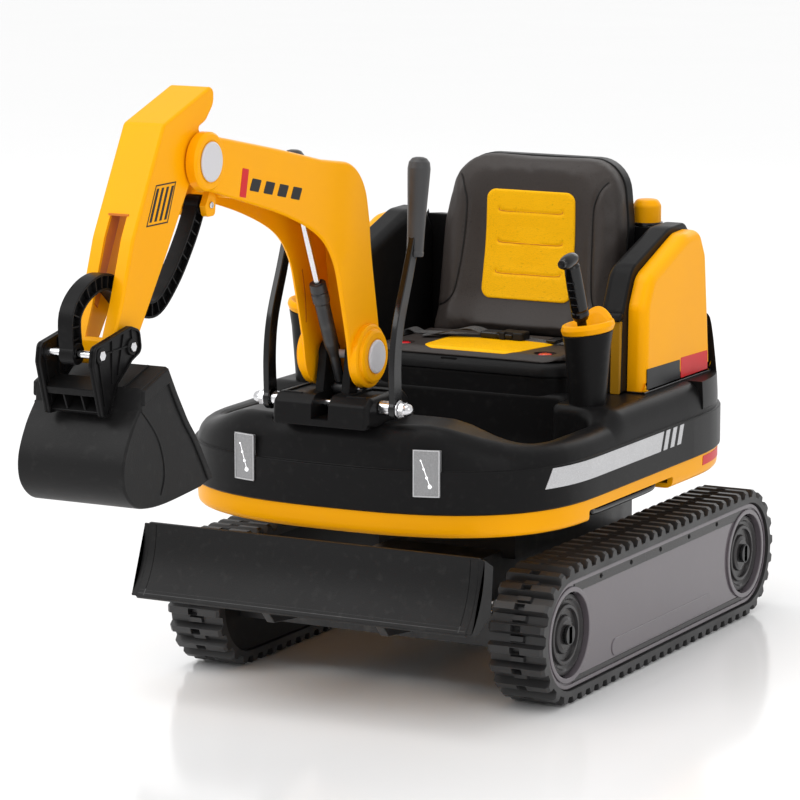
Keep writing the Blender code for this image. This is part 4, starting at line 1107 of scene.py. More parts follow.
def make_covers():
    """The yellow side covers, their black inner panels, the sills, decal blocks and front posts."""
    for word, side in SIDES:
        shell = slab("cover_shell_" + word, cover_outline(), "x", side * 0.2207, side * 0.247, 0.001, 0.0135, 7)
        put(shell, "upper", "yellow", "side_cover_" + word)
        arm = slab("arm_rest_" + word, armrest_outline(), "x", side * 0.2201, side * 0.1832, 0.003, 0.014, 6)
        put(arm, "upper", "black", "armrest_" + word)
        sill = fillet([(0.1060, 0.3620), (0.3360, 0.3620), (0.3350, 0.3652), (0.1065, 0.3652)], 0.0012, 2)
        put(slab("cover_sill_" + word, sill, "x", side * 0.20, side * 0.2486, 0.001, 0.001), "upper", "gloss_black")
        for key, y_low, y_high, look in (("dark", 0.1165, 0.2255, "black_decal"), ("red", 0.2280, 0.3190, "red_decal")):
            band = fillet([(y_low, 0.3672), (y_high, 0.3672), (y_high - 0.001, 0.3935), (y_low, 0.3955)], 0.0012, 2)
            film = slab("cover_band_%s_%s" % (key, word), band, "x", side * 0.2465, side * 0.24745, 0.0002, 0.0002)
            put(film, "upper", look)
        post = slab("cover_post_" + word, fillet([(0.0880, REAR_DECK_TOP), (0.1080, REAR_DECK_TOP), (0.1080, 0.462),
                                                  (0.0900, 0.462)], 0.001, 2), "x", side * 0.2048, side * 0.2190, 0.002, 0.002)
        put(post, "upper", "shaded_yellow")
        cap = slab("cover_post_cap_" + word, fillet([(0.0860, 0.4615), (0.1120, 0.4615), (0.1120, 0.4740), (0.0900, 0.4730)],
                                                    [0.002, 0.001, 0.002, 0.006], 4), "x", side * 0.2030, side * 0.2198, 0.003, 0.003)
        put(cap, "upper", "black")


def make_rear_housing():
    """The engine cover across the back, with the skirt round the rear corners and its vents."""
    main = fillet([(0.3227, REAR_DECK_TOP), (0.430, REAR_DECK_TOP), (0.424, 0.46), (0.400, 0.525), (0.365, 0.556),
                   (0.3227, 0.560)], [0.001, 0.004, 0.04, 0.04, 0.02, 0.002], 6)
    housing = slab("engine_cover", main, "x", -0.20, 0.20, 0.007, 0.007, 5)
    levels = [(0.0052, 0.3240), (0.0038, 0.3252), (0.0040, 0.3360), (0.0052, 0.3590), (0.0068, 0.3780), (0.0096, 0.4060),
              (0.0122, 0.4270), (0.0142, 0.4370), (0.0166, 0.4412), (0.0200, 0.4434), (0.0240, 0.4440)]
    skirt = loft("skirt", [[(x, y, z) for x, y in hull_outline(depth)] for depth, z in levels])
    cut(skirt, sharp_box("front", (-0.4, 0.4), (-0.6, 0.2365), (0.2, 0.6)))
    cut(skirt, sharp_box("cover_room", (-0.4, 0.4), (0.1, 0.3360), (0.3628, 0.6)))
    soften(skirt, 0.0022, 3)
    vents = []
    for k in range(6):
        z = 0.386 + 0.0125 * k
        vents.append(plate("vent", fillet([(-0.13, z), (0.13, z), (0.13, z + 0.005), (-0.13, z + 0.005)], 0.0024),
                           "y", 0.418 - 0.0012 * k, 0.45))
    for vent in vents:
        cut(housing, vent)
    for x in (-0.155, 0.155):
        cut(housing, sharp_box("seam", (x - 0.0007, x + 0.0007), (0.33, 0.50), (0.30, 0.60)))
    for x in (-0.165, 0.165):
        cut(skirt, sharp_box("seam", (x - 0.0007, x + 0.0007), (0.380, 0.50), (0.30, 0.60)))
    put(gather(housing, skirt), "upper", "black", "rear_housing")
    core = slab("engine_cover_core", inset(main, 0.0022), "x", -0.197, 0.197, 0.004, 0.004)
    put(core, "upper", "matt_black")
    grille = []
    for k in range(9):
        x = -0.104 + 0.026 * k
        grille.append(box("bar", (x - 0.0015, x + 0.0015), (0.4130, 0.4215), (0.384, 0.455), 0.0006))
    put(gather(grille[0], *grille[1:]), "upper", "black").name = "vent_bars"


def make_exhaust():
    place = (0.140, 0.346)
    profile = [(0, 0.5605), (0.0200, 0.5605), (0.0200, 0.5880), (0.0150, 0.5960), (0, 0.5968)]
    radii = [0, 0.0005, 0.009, 0.006, 0]
    stub = [tuple(p) for p in tidy(fillet(profile, radii, 5))]
    put(turned("exhaust_cap", stub, "z", place, 56), "upper", "yellow", "exhaust_stub")
    ring = soft_profile([(0.0196, 0.5600), (0.0228, 0.5600), (0.0222, 0.5645), (0.0196, 0.5650)], 0.0006)
    put(turned("exhaust_base_ring", ring, "z", place, 56), "upper", "gloss_black")


POD_X = 0.209
POD_Y = 0.0095
STICK_X = 0.2045
STICK_Y = 0.001
STICK_Z = 0.468


def tip_outwards(thing, side):
    """Tilts the top of a pod: its outer and rear sides stand higher."""
    for vertex in thing.data.vertices:
        x, y, z = vertex.co
        rise = side * (x - side * POD_X) * 0.13 + (y - POD_Y) * 0.06
        vertex.co.z += rise * step_up(0.40, 0.455, z)


def make_pods():
    """A tapered cup each side, its yellow funnel collar with a raised lobe, and the joystick."""
    for word, side in SIDES:
        place = (side * POD_X, POD_Y)
        cup = soft_profile([(0, 0.352), (0.0245, 0.352), (0.0262, 0.380), (0.0305, 0.435), (0.0338, 0.4580),
                            (0.0290, 0.4585), (0.0250, 0.42), (0, 0.42)], 0.0014)
        cup = turned("pod_cup_" + word, cup, "z", place, 56)
        tip_outwards(cup, side)
        put(cup, "upper", "black", "joystick_pod_" + word)
        collar = [(0.0150, 0.4540), (0.0300, 0.4570), (0.0340, 0.4590), (0.0362, 0.4655), (0.0345, 0.4712),
                  (0.0312, 0.4728), (0.0262, 0.4680), (0.0185, 0.4585)]
        funnel = turned("collar_" + word, soft_profile(collar, 0.0022, 4), "z", place, 120)
        for vertex in funnel.data.vertices:
            x, y, z = vertex.co
            turn = math.degrees(math.atan2(y - POD_Y, side * (x - place[0]))) - 92
            if abs(turn) < 48:
                lobe = math.cos(math.radians(turn * 90 / 48)) ** 1.2
                vertex.co.z += 0.0150 * lobe * step_up(0.4600, 0.4720, z)
        tip_outwards(funnel, side)
        put(funnel, "upper", "yellow", "joystick_collar_" + word)
        make_stick(word, side * STICK_X)


def make_stick(word, x):
    """A smooth grip on a short stem, with a stubby thumb head pointing forward."""
    low = STICK_Z
    grip_shape = [(0, low - 0.018), (0.0064, low - 0.018), (0.0066, low + 0.0085), (0.0098, low + 0.0105),
                  (0.0122, low + 0.0165), (0.0119, low + 0.022), (0.0112, low + 0.024), (0.0118, low + 0.027),
                  (0.0116, low + 0.060), (0.0112, low + 0.080), (0.0104, low + 0.0900), (0.0070, low + 0.0965),
                  (0, low + 0.0980)]
    shaft = turned("stick_" + word, soft_profile(grip_shape, 0.0008, 3), "z", (x, STICK_Y), 40)
    ridges = []
    for k in range(4):
        z = low + 0.034 + 0.011 * k
        ridges.append(box("ridge", (x - 0.0050, x + 0.0050), (STICK_Y - 0.0124, STICK_Y - 0.0090), (z, z + 0.0040), 0.0008))
    gather(shaft, *ridges)
    turn_about(shaft, 21.5, "X", (x, STICK_Y, STICK_Z))
    half = 0.0205
    shape = []
    for k in range(21):
        t = -1 + k / 10
        shape.append((0.0098 * max(0, 1 - abs(t) ** 2.6) ** (1 / 2.6), t * half))
    head = turned("head", shape, "y", (x, 0.5595), 32)
    head.data.transform(Matrix.Translation((0, STICK_Y - 0.0425, 0)))
    turn_about(head, 9, "X", (x, STICK_Y - 0.0425, 0.5595))
    button = rod("button", "y", (x, 0.5575), 0.0058, STICK_Y - 0.0655, STICK_Y - 0.0600, 0.0014, 24)
    put(gather(shaft, head, button), "joystick_" + word, "gloss_black", "joystick_" + word)


# ---------------------------------------------------------------- seat

SEAT_LEAN = math.radians(10.5)
SEAT_FOOT = Vector((0, 0.194, 0.40))


def on_seat(x, depth, height):
    """A point of the leaning backrest: across, behind its front plane, and above its foot."""
    return SEAT_FOOT + Vector((x, depth + height * math.tan(SEAT_LEAN), height))


def bolster(x, height):
    """How far towards the front the backrest's surface rises beside its middle, from 0 to 1."""
    edge = 0.100 - 0.012 * step_up(0.15, 0.24, height)
    return step_up(edge - 0.030, edge + 0.016, abs(x))


def sewn_pad(name, shape, room, voxel=0.005, frames=20, pressure=4.0):
    """A closed shape remeshed and inflated as cloth, with no point moving further than its room."""
    remesh = shape.modifiers.new("remesh", "REMESH")
    remesh.mode = "VOXEL"
    remesh.voxel_size = voxel
    apply_modifiers(shape)
    before = [v.co.copy() for v in shape.data.vertices]
    cloth = shape.modifiers.new("cloth", "CLOTH")
    cloth.settings.use_pressure = True
    cloth.settings.uniform_pressure_force = pressure
    cloth.settings.effector_weights.gravity = 0
    cloth.settings.quality = 4
    scene = bpy.context.scene
    for frame_number in range(1, frames + 1):
        scene.frame_set(frame_number)
    apply_modifiers(shape)
    scene.frame_set(1)
    for vertex, start in zip(shape.data.vertices, before):
        move = vertex.co - start
        if move.length > room:
            vertex.co = start + move * (room / move.length)
    settle = shape.modifiers.new("settle", "SMOOTH")
    settle.iterations = 3
    settle.factor = 0.5
    fine = shape.modifiers.new("fine", "SUBSURF")
    fine.levels = 1
    apply_modifiers(shape)
    shape.name = name
    return shape


def surface_tree(thing):
    shape = bmesh.new()
    shape.from_mesh(thing.data)
    tree = BVHTree.FromBMesh(shape)
    shape.free()
    return tree


def groove(thing, path, half_width, depth):
    """Presses a sewn channel into a surface along a 3-D path."""
    low = Vector((min(p[i] for p in path) - half_width for i in range(3)))
    high = Vector((max(p[i] for p in path) + half_width for i in range(3)))
    mesh = thing.data
    normals = [v.normal.copy() for v in mesh.vertices]
    for vertex, normal in zip(mesh.vertices, normals):
        co = vertex.co
        if any(co[i] < low[i] or co[i] > high[i] for i in range(3)):
            continue
        near = min((co - p).length for p in path)
        if near < half_width:
            vertex.co = co - normal * depth * (1 - step_up(0, half_width, near))


def laid_on(tree, points, direction, lift):
    """Points cast along a direction onto a surface, and lifted off it."""
    made = []
    direction = Vector(direction)
    for point in points:
        hit, normal, _, _ = tree.ray_cast(Vector(point) - direction * 0.2, direction)
        made.append(Vector(point) if hit is None else hit - direction * lift)
    return made


# A dark tube laid along a seam's groove as painted shade.
def seam_shade_line(name, path, radius, look="seam_shade"):
    return put(tube(name, path, radius, 6), "upper", look)


BACK_OUTLINE = fillet([(-0.138, 0.004), (0.138, 0.004), (0.1420, 0.060), (0.1420, 0.165), (0.1250, 0.2575),
                       (-0.1250, 0.2575), (-0.1420, 0.165), (-0.1420, 0.060)],
                      [0.010, 0.010, 0.10, 0.16, 0.064, 0.064, 0.16, 0.10], 9)


def make_backrest():
    """The padded backrest, its sewn side seams with lines of painted shade laid in them, its panel, and the moulded
    shell behind it.
    """
    pad = slab("backrest_shape", BACK_OUTLINE, "y", 0.030, 0.080, 0.014, 0.010, 4)
    remesh = pad.modifiers.new("remesh", "REMESH")
    remesh.mode = "VOXEL"
    remesh.voxel_size = 0.005
    apply_modifiers(pad)
    for vertex in pad.data.vertices:
        x, depth, height = vertex.co
        hollow = (1 - bolster(x, height)) * 0.016 * (1 - step_up(0.110, 0.262, height))
        reach = 0.016 * (1 - step_up(0.0, 0.062, height))
        share = 1 - step_up(0.030, 0.078, depth)
        vertex.co = on_seat(x, depth + (hollow - reach) * share, height)
    pad = sewn_pad("backrest", pad, 0.0045)
    tree = surface_tree(pad)
    seams = []
    for side in (1, -1):
        knots = [(0.1150, 0.2260), (0.1090, 0.2190), (0.1030, 0.205), (0.0985, 0.185), (0.1000, 0.130), (0.1040, 0.085),
                 (0.1090, 0.060), (0.1200, 0.0475), (0.1330, 0.0420)]
        flat = smooth_path([(side * x, height) for x, height in knots], 8)
        seams.append(laid_on(tree, [on_seat(x, 0.03, height) for x, height in flat], (0, 1, 0), 0.0))
    for seam in seams:
        groove(pad, seam, 0.0075, 0.0020)
    tree = surface_tree(pad)
    for word, seam in zip(("left", "right"), seams):
        # painted shade: a dark line laid in each seam's groove
        seam_shade_line("backrest_seam_" + word, steadied(laid_on(tree, seam, (0, 1, 0), 0.0006)), 0.0011)
    put(pad, "upper", "vinyl", "seat_back")
    make_back_panel(tree)
    make_back_shell()


def steadied(path):
    """The path with the small steps of the mesh under it evened out."""
    for _ in range(4):
        inner = [(path[i - 1] + path[i] * 2 + path[i + 1]) / 4 for i in range(1, len(path) - 1)]
        path = [path[0]] + inner + [path[-1]]
    return path


def make_back_panel(tree):
    """The yellow centre panel, with three pressed lines across it, each darkened by a laid-in line of painted shade."""
    half_low, half_high = 0.0705, 0.0685
    low, high = 0.0560, 0.2090
    rim = fillet([(-half_low, low), (half_low, low), (half_high, high), (-half_high, high)], 0.0140, 6)
    middle = Vector((0, (low + high) / 2))
    laid = []
    for depth in range(26):
        share = (1.0, 0.985, 0.965)[depth] if depth < 3 else 0.965 * (1 - (depth - 2) / 23.5)
        rise = (0.0010, 0.0019, 0.0023)[min(depth, 2)]
        ring = [middle + (p - middle) * share for p in dense(rim, 0.004)]
        laid.append(laid_on(tree, [on_seat(p.x, 0.03, p.y) for p in ring], (0, 1, 0), rise))
    under = laid_on(tree, [on_seat(p.x, 0.03, p.y) for p in dense(rim, 0.004)], (0, 1, 0), -0.0012)
    panel = loft("backrest_panel", [under] + laid)
    fine = panel.modifiers.new("fine", "SUBSURF")
    fine.subdivision_type = "SIMPLE"
    fine.levels = 1
    apply_modifiers(panel)
    places = []
    for share in (0.20, 0.49, 0.77):
        height = high - (high - low) * share
        reach = (half_low + (half_high - half_low) * (height - low) / (high - low)) * 0.72
        knots = [(-reach, height + 0.0040), (-reach + 0.005, height), (0, height), (reach - 0.005, height),
                 (reach, height + 0.0040)]
        places.append([on_seat(x, 0.03, z) for x, z in smooth_path(knots, 10)])
    flat = surface_tree(panel)
    for line in places:
        groove(panel, laid_on(flat, line, (0, 1, 0), 0), 0.0040, 0.0011)
    pressed = surface_tree(panel)
    put(panel, "upper", "yellow_vinyl")
    # painted shade: a dark orange line laid along each pressed groove
    marks = [tube("line", steadied(laid_on(pressed, line, (0, 1, 0), -0.0001)), 0.0006, 6) for line in places]
    put(gather(marks[0], *marks[1:]), "upper", "painted_shade_orange").name = "backrest_panel_lines"


def dense(outline, spacing):
    """The outline with more points, no further apart than the spacing."""
    points = tidy(outline)
    made = []
    for i, point in enumerate(points):
        after = points[(i + 1) % len(points)]
        count = max(1, math.ceil((after - point).length / spacing))
        made += [point.lerp(after, k / count) for k in range(count)]
    return made


def make_back_shell():
    """The moulded shell behind the backrest, with stiffening ribs down its back."""
    shell = slab("backrest_shell", inset(BACK_OUTLINE, 0.0025), "y", 0.064, 0.0905, 0.002, 0.009, 5)
    ribs = []
    for x in (-0.070, -0.035, 0.0, 0.035, 0.070):
        ribs.append(slab("rib", [(x - 0.0022, 0.040), (x + 0.0022, 0.040), (x + 0.0022, 0.205), (x - 0.0022, 0.205)],
                         "y", 0.088, 0.0935, 0.0005, 0.0015))
    gather(shell, *ribs)
    for vertex in shell.data.vertices:
        x, depth, height = vertex.co
        vertex.co = on_seat(x, depth, height)
    put(shell, "upper", "black")


def cushion_top(y):
    """The height of the base pad's top along its middle."""
    return (0.4108 - 0.0060 * (1 - step_up(0.0575, 0.0720, y)) - 0.0026 * step_up(0.075, 0.185, y)
            + 0.0045 * step_up(0.198, 0.222, y))


def make_cushion():
    """The thin base pad, with a round hole over each button and a yellow panel."""
    rim = fillet([(0.1435, 0.0575), (0.1435, 0.2210), (-0.1435, 0.2210), (-0.1435, 0.0575)], [0.032, 0.012, 0.012, 0.032], 8)
    pad = slab("cushion_shape", rim, "z", 0.4032, 0.4100, 0.0010, 0.0030, 3)
    pad = sewn_pad("seat_cushion_pad", pad, 0.0016, 0.0034, 12)
    for vertex in pad.data.vertices:
        share = step_up(0.4040, 0.4085, vertex.co.z)
        vertex.co.z = max(0.4024, vertex.co.z + share * (cushion_top(vertex.co.y) - 0.4108))
    for side in (1, -1):
        cut(pad, rod("button_room", "z", (side * 0.109, 0.086), 0.0160, 0.39, 0.44, 0, 48))
    tree = surface_tree(pad)
    outline = fillet([(-0.0715, 0.0665), (0.0715, 0.0665), (0.0830, 0.1900), (-0.0830, 0.1900)], 0.020, 8)
    middle = Vector((0, 0.128))
    outline = dense(outline, 0.004)
    groove(pad, laid_on(tree, [(p.x, p.y, 0.42) for p in outline], (0, 0, -1), 0), 0.004, 0.0006)
    tree = surface_tree(pad)
    laid = []
    for depth, share in enumerate((1.0, 0.988, 0.965, 0.92, 0.84, 0.74, 0.62, 0.49, 0.36, 0.23, 0.10)):
        rise = (0.0005, 0.0010, 0.0012)[min(depth, 2)]
        ring = [middle + (p - middle) * share for p in outline]
        laid.append(laid_on(tree, [(p.x, p.y, 0.42) for p in ring], (0, 0, -1), rise))
    under = laid_on(tree, [(p.x, p.y, 0.42) for p in outline], (0, 0, -1), -0.0012)
    put(loft("seat_patch", [under] + laid), "upper", "yellow_vinyl")
    put(pad, "upper", "vinyl", "seat_cushion")
    make_lap_belt(tree)


def strap(name, spine, half_width, thickness, across=(0, 1, 0)):
    """A flat webbing strap along a 3-D spine, with rounded selvedges."""
    across = Vector(across)
    rings = []
    for i, point in enumerate(spine):
        along = (spine[min(i + 1, len(spine) - 1)] - spine[max(i - 1, 0)]).normalized()
        side = (across - along * across.dot(along)).normalized()
        up = along.cross(side)
        ring = []
        for u, v in ((-1, -0.3), (-0.96, -0.5), (-0.5, -0.5), (0, -0.5), (0.5, -0.5), (0.96, -0.5), (1, -0.3),
                     (1, 0.3), (0.96, 0.5), (0.5, 0.5), (0, 0.5), (-0.5, 0.5), (-0.96, 0.5), (-1, 0.3)):
            ring.append(point + side * (u * half_width) + up * (v * thickness))
        rings.append(ring)
    return loft(name, rings)


def make_lap_belt(tree):
    """Two straps across the cushion's rear, meeting in a side-release buckle."""

    def on_pad(x, y, lift):
        """A strap's centre above the highest place of the pad under its width."""
        tops = laid_on(tree, [(x, y + d, 0.42) for d in (-0.011, 0, 0.011)], (0, 0, -1), 0)
        return Vector((x, y, max(top.z for top in tops) + lift))

    for word, side in SIDES:
        spine = [Vector((side * 0.1560, 0.1860, 0.4050)), Vector((side * 0.1545, 0.1858, 0.4120))]
        for k in range(12):
            t = k / 11
            x = side * (0.146 - 0.122 * t)
            y = 0.1855 - 0.0060 * math.sin(2.6 * t * math.pi * 0.5) + side * 0.0015 * t
            wave = 0.0016 + 0.0011 * math.sin(5.2 * t + side)
            spine.append(on_pad(x, y, wave) if abs(x) < 0.141 else Vector((x, y, 0.4135)))
        path = smooth_path(spine, 4)
        put(strap("lap_strap_" + word, path, 0.0122, 0.0015), "upper", "webbing", "lap_belt_" + word)
    top = max(on_pad(x, 0.182, 0).z for x in (-0.03, 0, 0.03))
    low = top + 0.0012
    body = fillet([(-0.004, 0.1665), (0.0330, 0.1690), (0.0330, 0.1950), (-0.004, 0.1975)], 0.004, 5)
    body = slab("buckle_body", body, "z", low, low + 0.0115, 0.002, 0.0028, 4)
    cut(body, plate("window", [(0.004, 0.16), (0.020, 0.16), (0.018, 0.1715), (0.006, 0.1715)], "z", low - 0.01, low + 0.03))
    cut(body, plate("window", [(0.004, 0.205), (0.006, 0.1925), (0.018, 0.1925), (0.020, 0.205)], "z", low - 0.01, low + 0.03))
    soften(body, 0.0006)
    put(body, "upper", "matt_black")
    tongue = fillet([(-0.034, 0.1700), (-0.006, 0.1690), (-0.006, 0.1950), (-0.034, 0.1940)], 0.003, 4)
    tongue = slab("buckle_tongue", tongue, "z", low + 0.0012, low + 0.0095, 0.0018, 0.0022, 3)
    prongs = [box("prong", (-0.007, 0.0165), (y, y + 0.0042), (low + 0.0028, low + 0.0080), 0.0012)
              for y in (0.1690, 0.1908)]
    put(gather(tongue, *prongs), "upper", "gloss_black")
    slide = slab("belt_slide", fillet([(0.070, 0.1665), (0.086, 0.1665), (0.086, 0.1975), (0.070, 0.1975)], 0.002, 4),
                 "z", on_pad(0.078, 0.182, 0.0026).z, on_pad(0.078, 0.182, 0.0066).z, 0.001, 0.001)
    put(slide, "upper", "gloss_black")
    knots = [(-0.030, 0.184, 0.0075), (-0.050, 0.176, 0.0130), (-0.075, 0.160, 0.0090), (-0.098, 0.150, 0.0035),
             (-0.110, 0.146, 0.0022)]
    tail = []
    for x, y, lift in knots:
        tail.append(on_pad(x, y, lift))
    put(strap("belt_tail", smooth_path(tail, 7), 0.0110, 0.0014, (0.25, 0.97, 0)), "upper", "webbing")


# ---------------------------------------------------------------- levers and boom bracket

BOOM_PIVOT = (-0.288, 0.456)
ARM_PIVOT = (-0.69, 0.747)
BUCKET_PIVOT = (-0.863, 0.549)
LINK_PIN = (-0.930, 0.548)
LINK_TOP = (-0.652, 0.690)
STRUT_FOOT = (-0.290, 0.412)
STRUT_TOP = (-0.401, 0.665)
STRUT_LIP = (-0.354, 0.557)
LEVER_PIVOT = (-0.314, 0.395)
LEVER_X = 0.092


def make_bracket():
    """The block on the hood that carries the boom, with a slot for the strut between its ears."""
    side_view = [(-0.351, 0.3700), (-0.231, 0.3700), (-0.236, 0.4000), (-0.250, 0.4100), (-0.335, 0.4100),
                 (-0.348, 0.4000)]
    block = slab("boom_seat", fillet(side_view, [0.002, 0.002, 0.008, 0.010, 0.010, 0.008], 5), "x", -0.070, 0.070,
                 0.007, 0.007, 5)
    cut(block, plate("slot", [(-0.37, 0.379), (-0.262, 0.379), (-0.262, 0.43), (-0.37, 0.43)], "x", -0.0125, 0.0125))
    for x in (-0.046, 0.046):
        cut(block, plate("recess", fillet([(-0.331, 0.4075), (-0.266, 0.4075), (-0.266, 0.42), (-0.331, 0.42)], 0.001),
                         "x", x - 0.014, x + 0.014))
    soften(block, 0.0010)
    ears = []
    for side in (1, -1):
        ear = arc(BOOM_PIVOT, 0.0190, -8, 188, 20) + [(-0.3175, 0.402), (-0.2650, 0.402)]
        ears.append(slab("ear", fillet(ear, 0.001, 2), "x", side * 0.0130, side * 0.0250, 0.0012, 0.0012))
        ears.append(box("rib", sorted((side * 0.032, side * 0.060)), (-0.3365, -0.3340), (0.404, 0.4108), 0.0008))
    put(gather(block, *ears), "upper", "black", "boom_bracket")
    pins = []
    for side in (1, -1):
        shape = soft_profile([(0, 0.0245), (0.0052, 0.0245), (0.0052, 0.0268), (0.0034, 0.0280), (0, 0.0282)], 0.0006)
        pins.append(turned("head", [(r, side * along) for r, along in shape], "x", STRUT_FOOT, 24))
    put(gather(pins[0], *pins[1:]), "strut_tube", "chrome").name = "strut_foot_pin_heads"


def make_lever_axle():
    """The bright axle with a washer and a domed nut at each end."""
    parts = [rod("lever_axle_rod", "x", LEVER_PIVOT, 0.0058, -0.115, 0.115, 0.001)]
    for side in (1, -1):
        parts.append(rod("washer", "x", LEVER_PIVOT, 0.0118, side * 0.0966, side * 0.0984, 0.0005))
        parts.append(rod("nut", "x", LEVER_PIVOT, 0.0098, side * 0.0985, side * 0.1065, 0.0010, 6))
        dome = [(0, 0.1060), (0.0084, 0.1060), (0.0082, 0.1095), (0.0068, 0.1132), (0.0042, 0.1156), (0, 0.1165)]
        parts.append(turned("dome", [(r, side * along) for r, along in dome], "x", LEVER_PIVOT, 32))
        parts.append(rod("collar", "x", LEVER_PIVOT, 0.0095, side * 0.0705, side * 0.0875, 0.0012))
    put(gather(parts[0], *parts[1:]), "upper", "chrome", "lever_axle")


def make_levers():
    for word, side in SIDES:
        path = smooth_path([(-0.314, 0.395), (-0.316, 0.450), (-0.308, 0.500), (-0.283, 0.560), (-0.262, 0.612)], 8)
        widths = [0.0112 - 0.0034 * i / (len(path) - 1) for i in range(len(path))]
        bar = slab("lever_bar_" + word, ribbon(path, widths), "x", side * (LEVER_X - 0.0042), side * (LEVER_X + 0.0042),
                   0.0013, 0.0013, 3)
        eye = ring_plate("eye", LEVER_PIVOT, 0.0140, 0.0062, side * (LEVER_X - 0.0042), side * (LEVER_X + 0.0042), 0.0012)
        put(gather(bar, eye), "lever_" + word, "gloss_black", "lever_" + word)
        shape = [(0, 0.001), (0.0116, 0.001), (0.0120, 0.0060), (0.0112, 0.0085), (0.0118, 0.034), (0.0134, 0.070),
                 (0.0150, 0.100), (0.0156, 0.114), (0.0142, 0.1220), (0.0100, 0.1270), (0.0050, 0.1286), (0, 0.1288)]
        sleeve = turned("lever_sleeve_" + word, soft_profile(shape, 0.0016, 3), "z", (0, 0), 40)
        for vertex in sleeve.data.vertices:
            vertex.co.x *= 0.94
        lean = Matrix.Rotation(math.radians(-6), 4, "X")
        sleeve.data.transform(Matrix.Translation((side * LEVER_X, -0.2625, 0.584)) @ lean)
        put(sleeve, "lever_" + word, "grip", "lever_grip_" + word)


# ---------------------------------------------------------------- boom

def boom_shape():
    elbow = arc((-0.353, 0.640), 0.073, 82, 12, 12)
    top = [(-0.682, 0.780)] + smooth_path([(-0.649, 0.772), (-0.508, 0.744), (-0.400, 0.7205)], 6) + elbow + smooth_path([(-0.2762, 0.630), (-0.271, 0.585), (-0.255, 0.505)], 5)
    foot = arc(BOOM_PIVOT, 0.0418, 20, -170, 24)
    under = smooth_path([(-0.334, 0.478), (-0.351, 0.537), (-0.370, 0.588), (-0.408, 0.625), (-0.484, 0.657),
                         (-0.582, 0.685), (-0.690, 0.7135)], 6)
    return top + foot + under


def make_boom():
    """A gooseneck channel, open below, with stepped bosses and a few cross ribs inside."""
    boom = slab("boom_shell", boom_shape(), "x", -0.0355, 0.0355, 0.0042, 0.0042, 4)
    hollow = [(-0.74, 0.80), (-0.652, 0.80), (-0.645, 0.7665), (-0.640, 0.762), (-0.508, 0.7385), (-0.400, 0.7152)]
    hollow += arc((-0.353, 0.640), 0.068, 82, 12, 12)
    hollow += [(-0.276, 0.585), (-0.262, 0.505), (-0.258, 0.40), (-0.36, 0.40), (-0.40, 0.55), (-0.45, 0.60),
               (-0.74, 0.66)]
    cut(boom, plate("channel", hollow, "x", -0.031, 0.031))
    soften(boom, 0.0012, 2, 50)
    parts = []
    for side in (1, -1):
        foot = [(0, 0.0330), (0.0412, 0.0330), (0.0412, 0.0420), (0.0385, 0.0438), (0.0350, 0.0442),
                (0.0345, 0.0480), (0.0310, 0.0500), (0.0240, 0.0505), (0.0232, 0.0494), (0, 0.0494)]
        foot = soft_profile(foot, 0.0012, 3)
        parts.append(turned("foot_boss", [(r, side * along) for r, along in foot], "x", BOOM_PIVOT, 64))
        end = [(0, 0.0305), (0.0355, 0.0305), (0.0355, 0.0425), (0.0325, 0.0452), (0.0262, 0.0455),
               (0.0254, 0.0446), (0, 0.0446)]
        end = soft_profile(end, 0.0012, 3)
        parts.append(turned("end_boss", [(r, side * along) for r, along in end], "x", ARM_PIVOT, 64))
    web = fillet([(-0.644, 0.764), (-0.628, 0.760), (-0.638, 0.712), (-0.641, 0.676), (-0.660, 0.676),
                  (-0.664, 0.690), (-0.651, 0.712)], [0, 0, 0.004, 0.006, 0.006, 0.002, 0.003])
    for side in (1, -1):
        parts.append(slab("lug", web, "x", side * 0.0125, side * 0.0213, 0.0010, 0.0010))
    parts.append(slab("web", [(-0.644, 0.764), (-0.628, 0.760), (-0.634, 0.728), (-0.647, 0.728)], "x", -0.031, 0.031))
    for y in (-0.596, -0.548):
        roof = 0.7385 + (0.762 - 0.7385) * (-0.508 - y) / 0.132
        parts.append(box("rib", (-0.0312, 0.0312), (y - 0.0016, y + 0.0016), (roof - 0.026, roof + 0.001), 0.0008))
    for y, z in ((-0.600, 0.7060), (-0.545, 0.6930)):
        for side in (1, -1):
            parts.append(rod("post", "x", (y, z), 0.0085, side * 0.0312, side * 0.0100, 0.0012, 24))
    put(gather(boom, *parts), "boom", "yellow", "boom")
    put(screw_heads("boom_lug_screws", [LINK_TOP], "x", 0.0212, 0.0236, 0.0042), "boom", "chrome")
    # painted shade: thin dark orange lines on the channel's inner walls near the foot
    grooves = []
    for side in (1, -1):
        path = smooth_path([(-0.3275, 0.500), (-0.3300, 0.535), (-0.3375, 0.570)], 6)
        grooves.append(slab("line", ribbon(path, [0.0011] * len(path)), "x", side * 0.0306, side * 0.0313, 0.0002, 0.0002))
    put(gather(grooves[0], *grooves[1:]), "boom", "painted_shade_orange").name = "boom_inner_lines"
    for name, centre, body, node, radius, face in (("boom_cap", BOOM_PIVOT, "upper", "boom_pin", 0.0218, 0.0494),
                                                   ("arm_cap", ARM_PIVOT, "boom", "arm_pin", 0.0240, 0.0446)):
        caps = [rod(name, "x", centre, 0.0056, -face, face, 0.0006)]
        for side in (1, -1):
            dome = [(0, face + 0.0003), (radius, face + 0.0003), (radius, face + 0.0022), (radius - 0.0022, face + 0.0036),
                    (0, face + 0.0042)]
            dome = soft_profile(dome, 0.0009, 3)
            caps.append(turned("dome", [(r, side * along) for r, along in dome], "x", centre, 64))
        put(gather(caps[0], *caps[1:]), body, "cap_white", node)
    make_boom_marks()


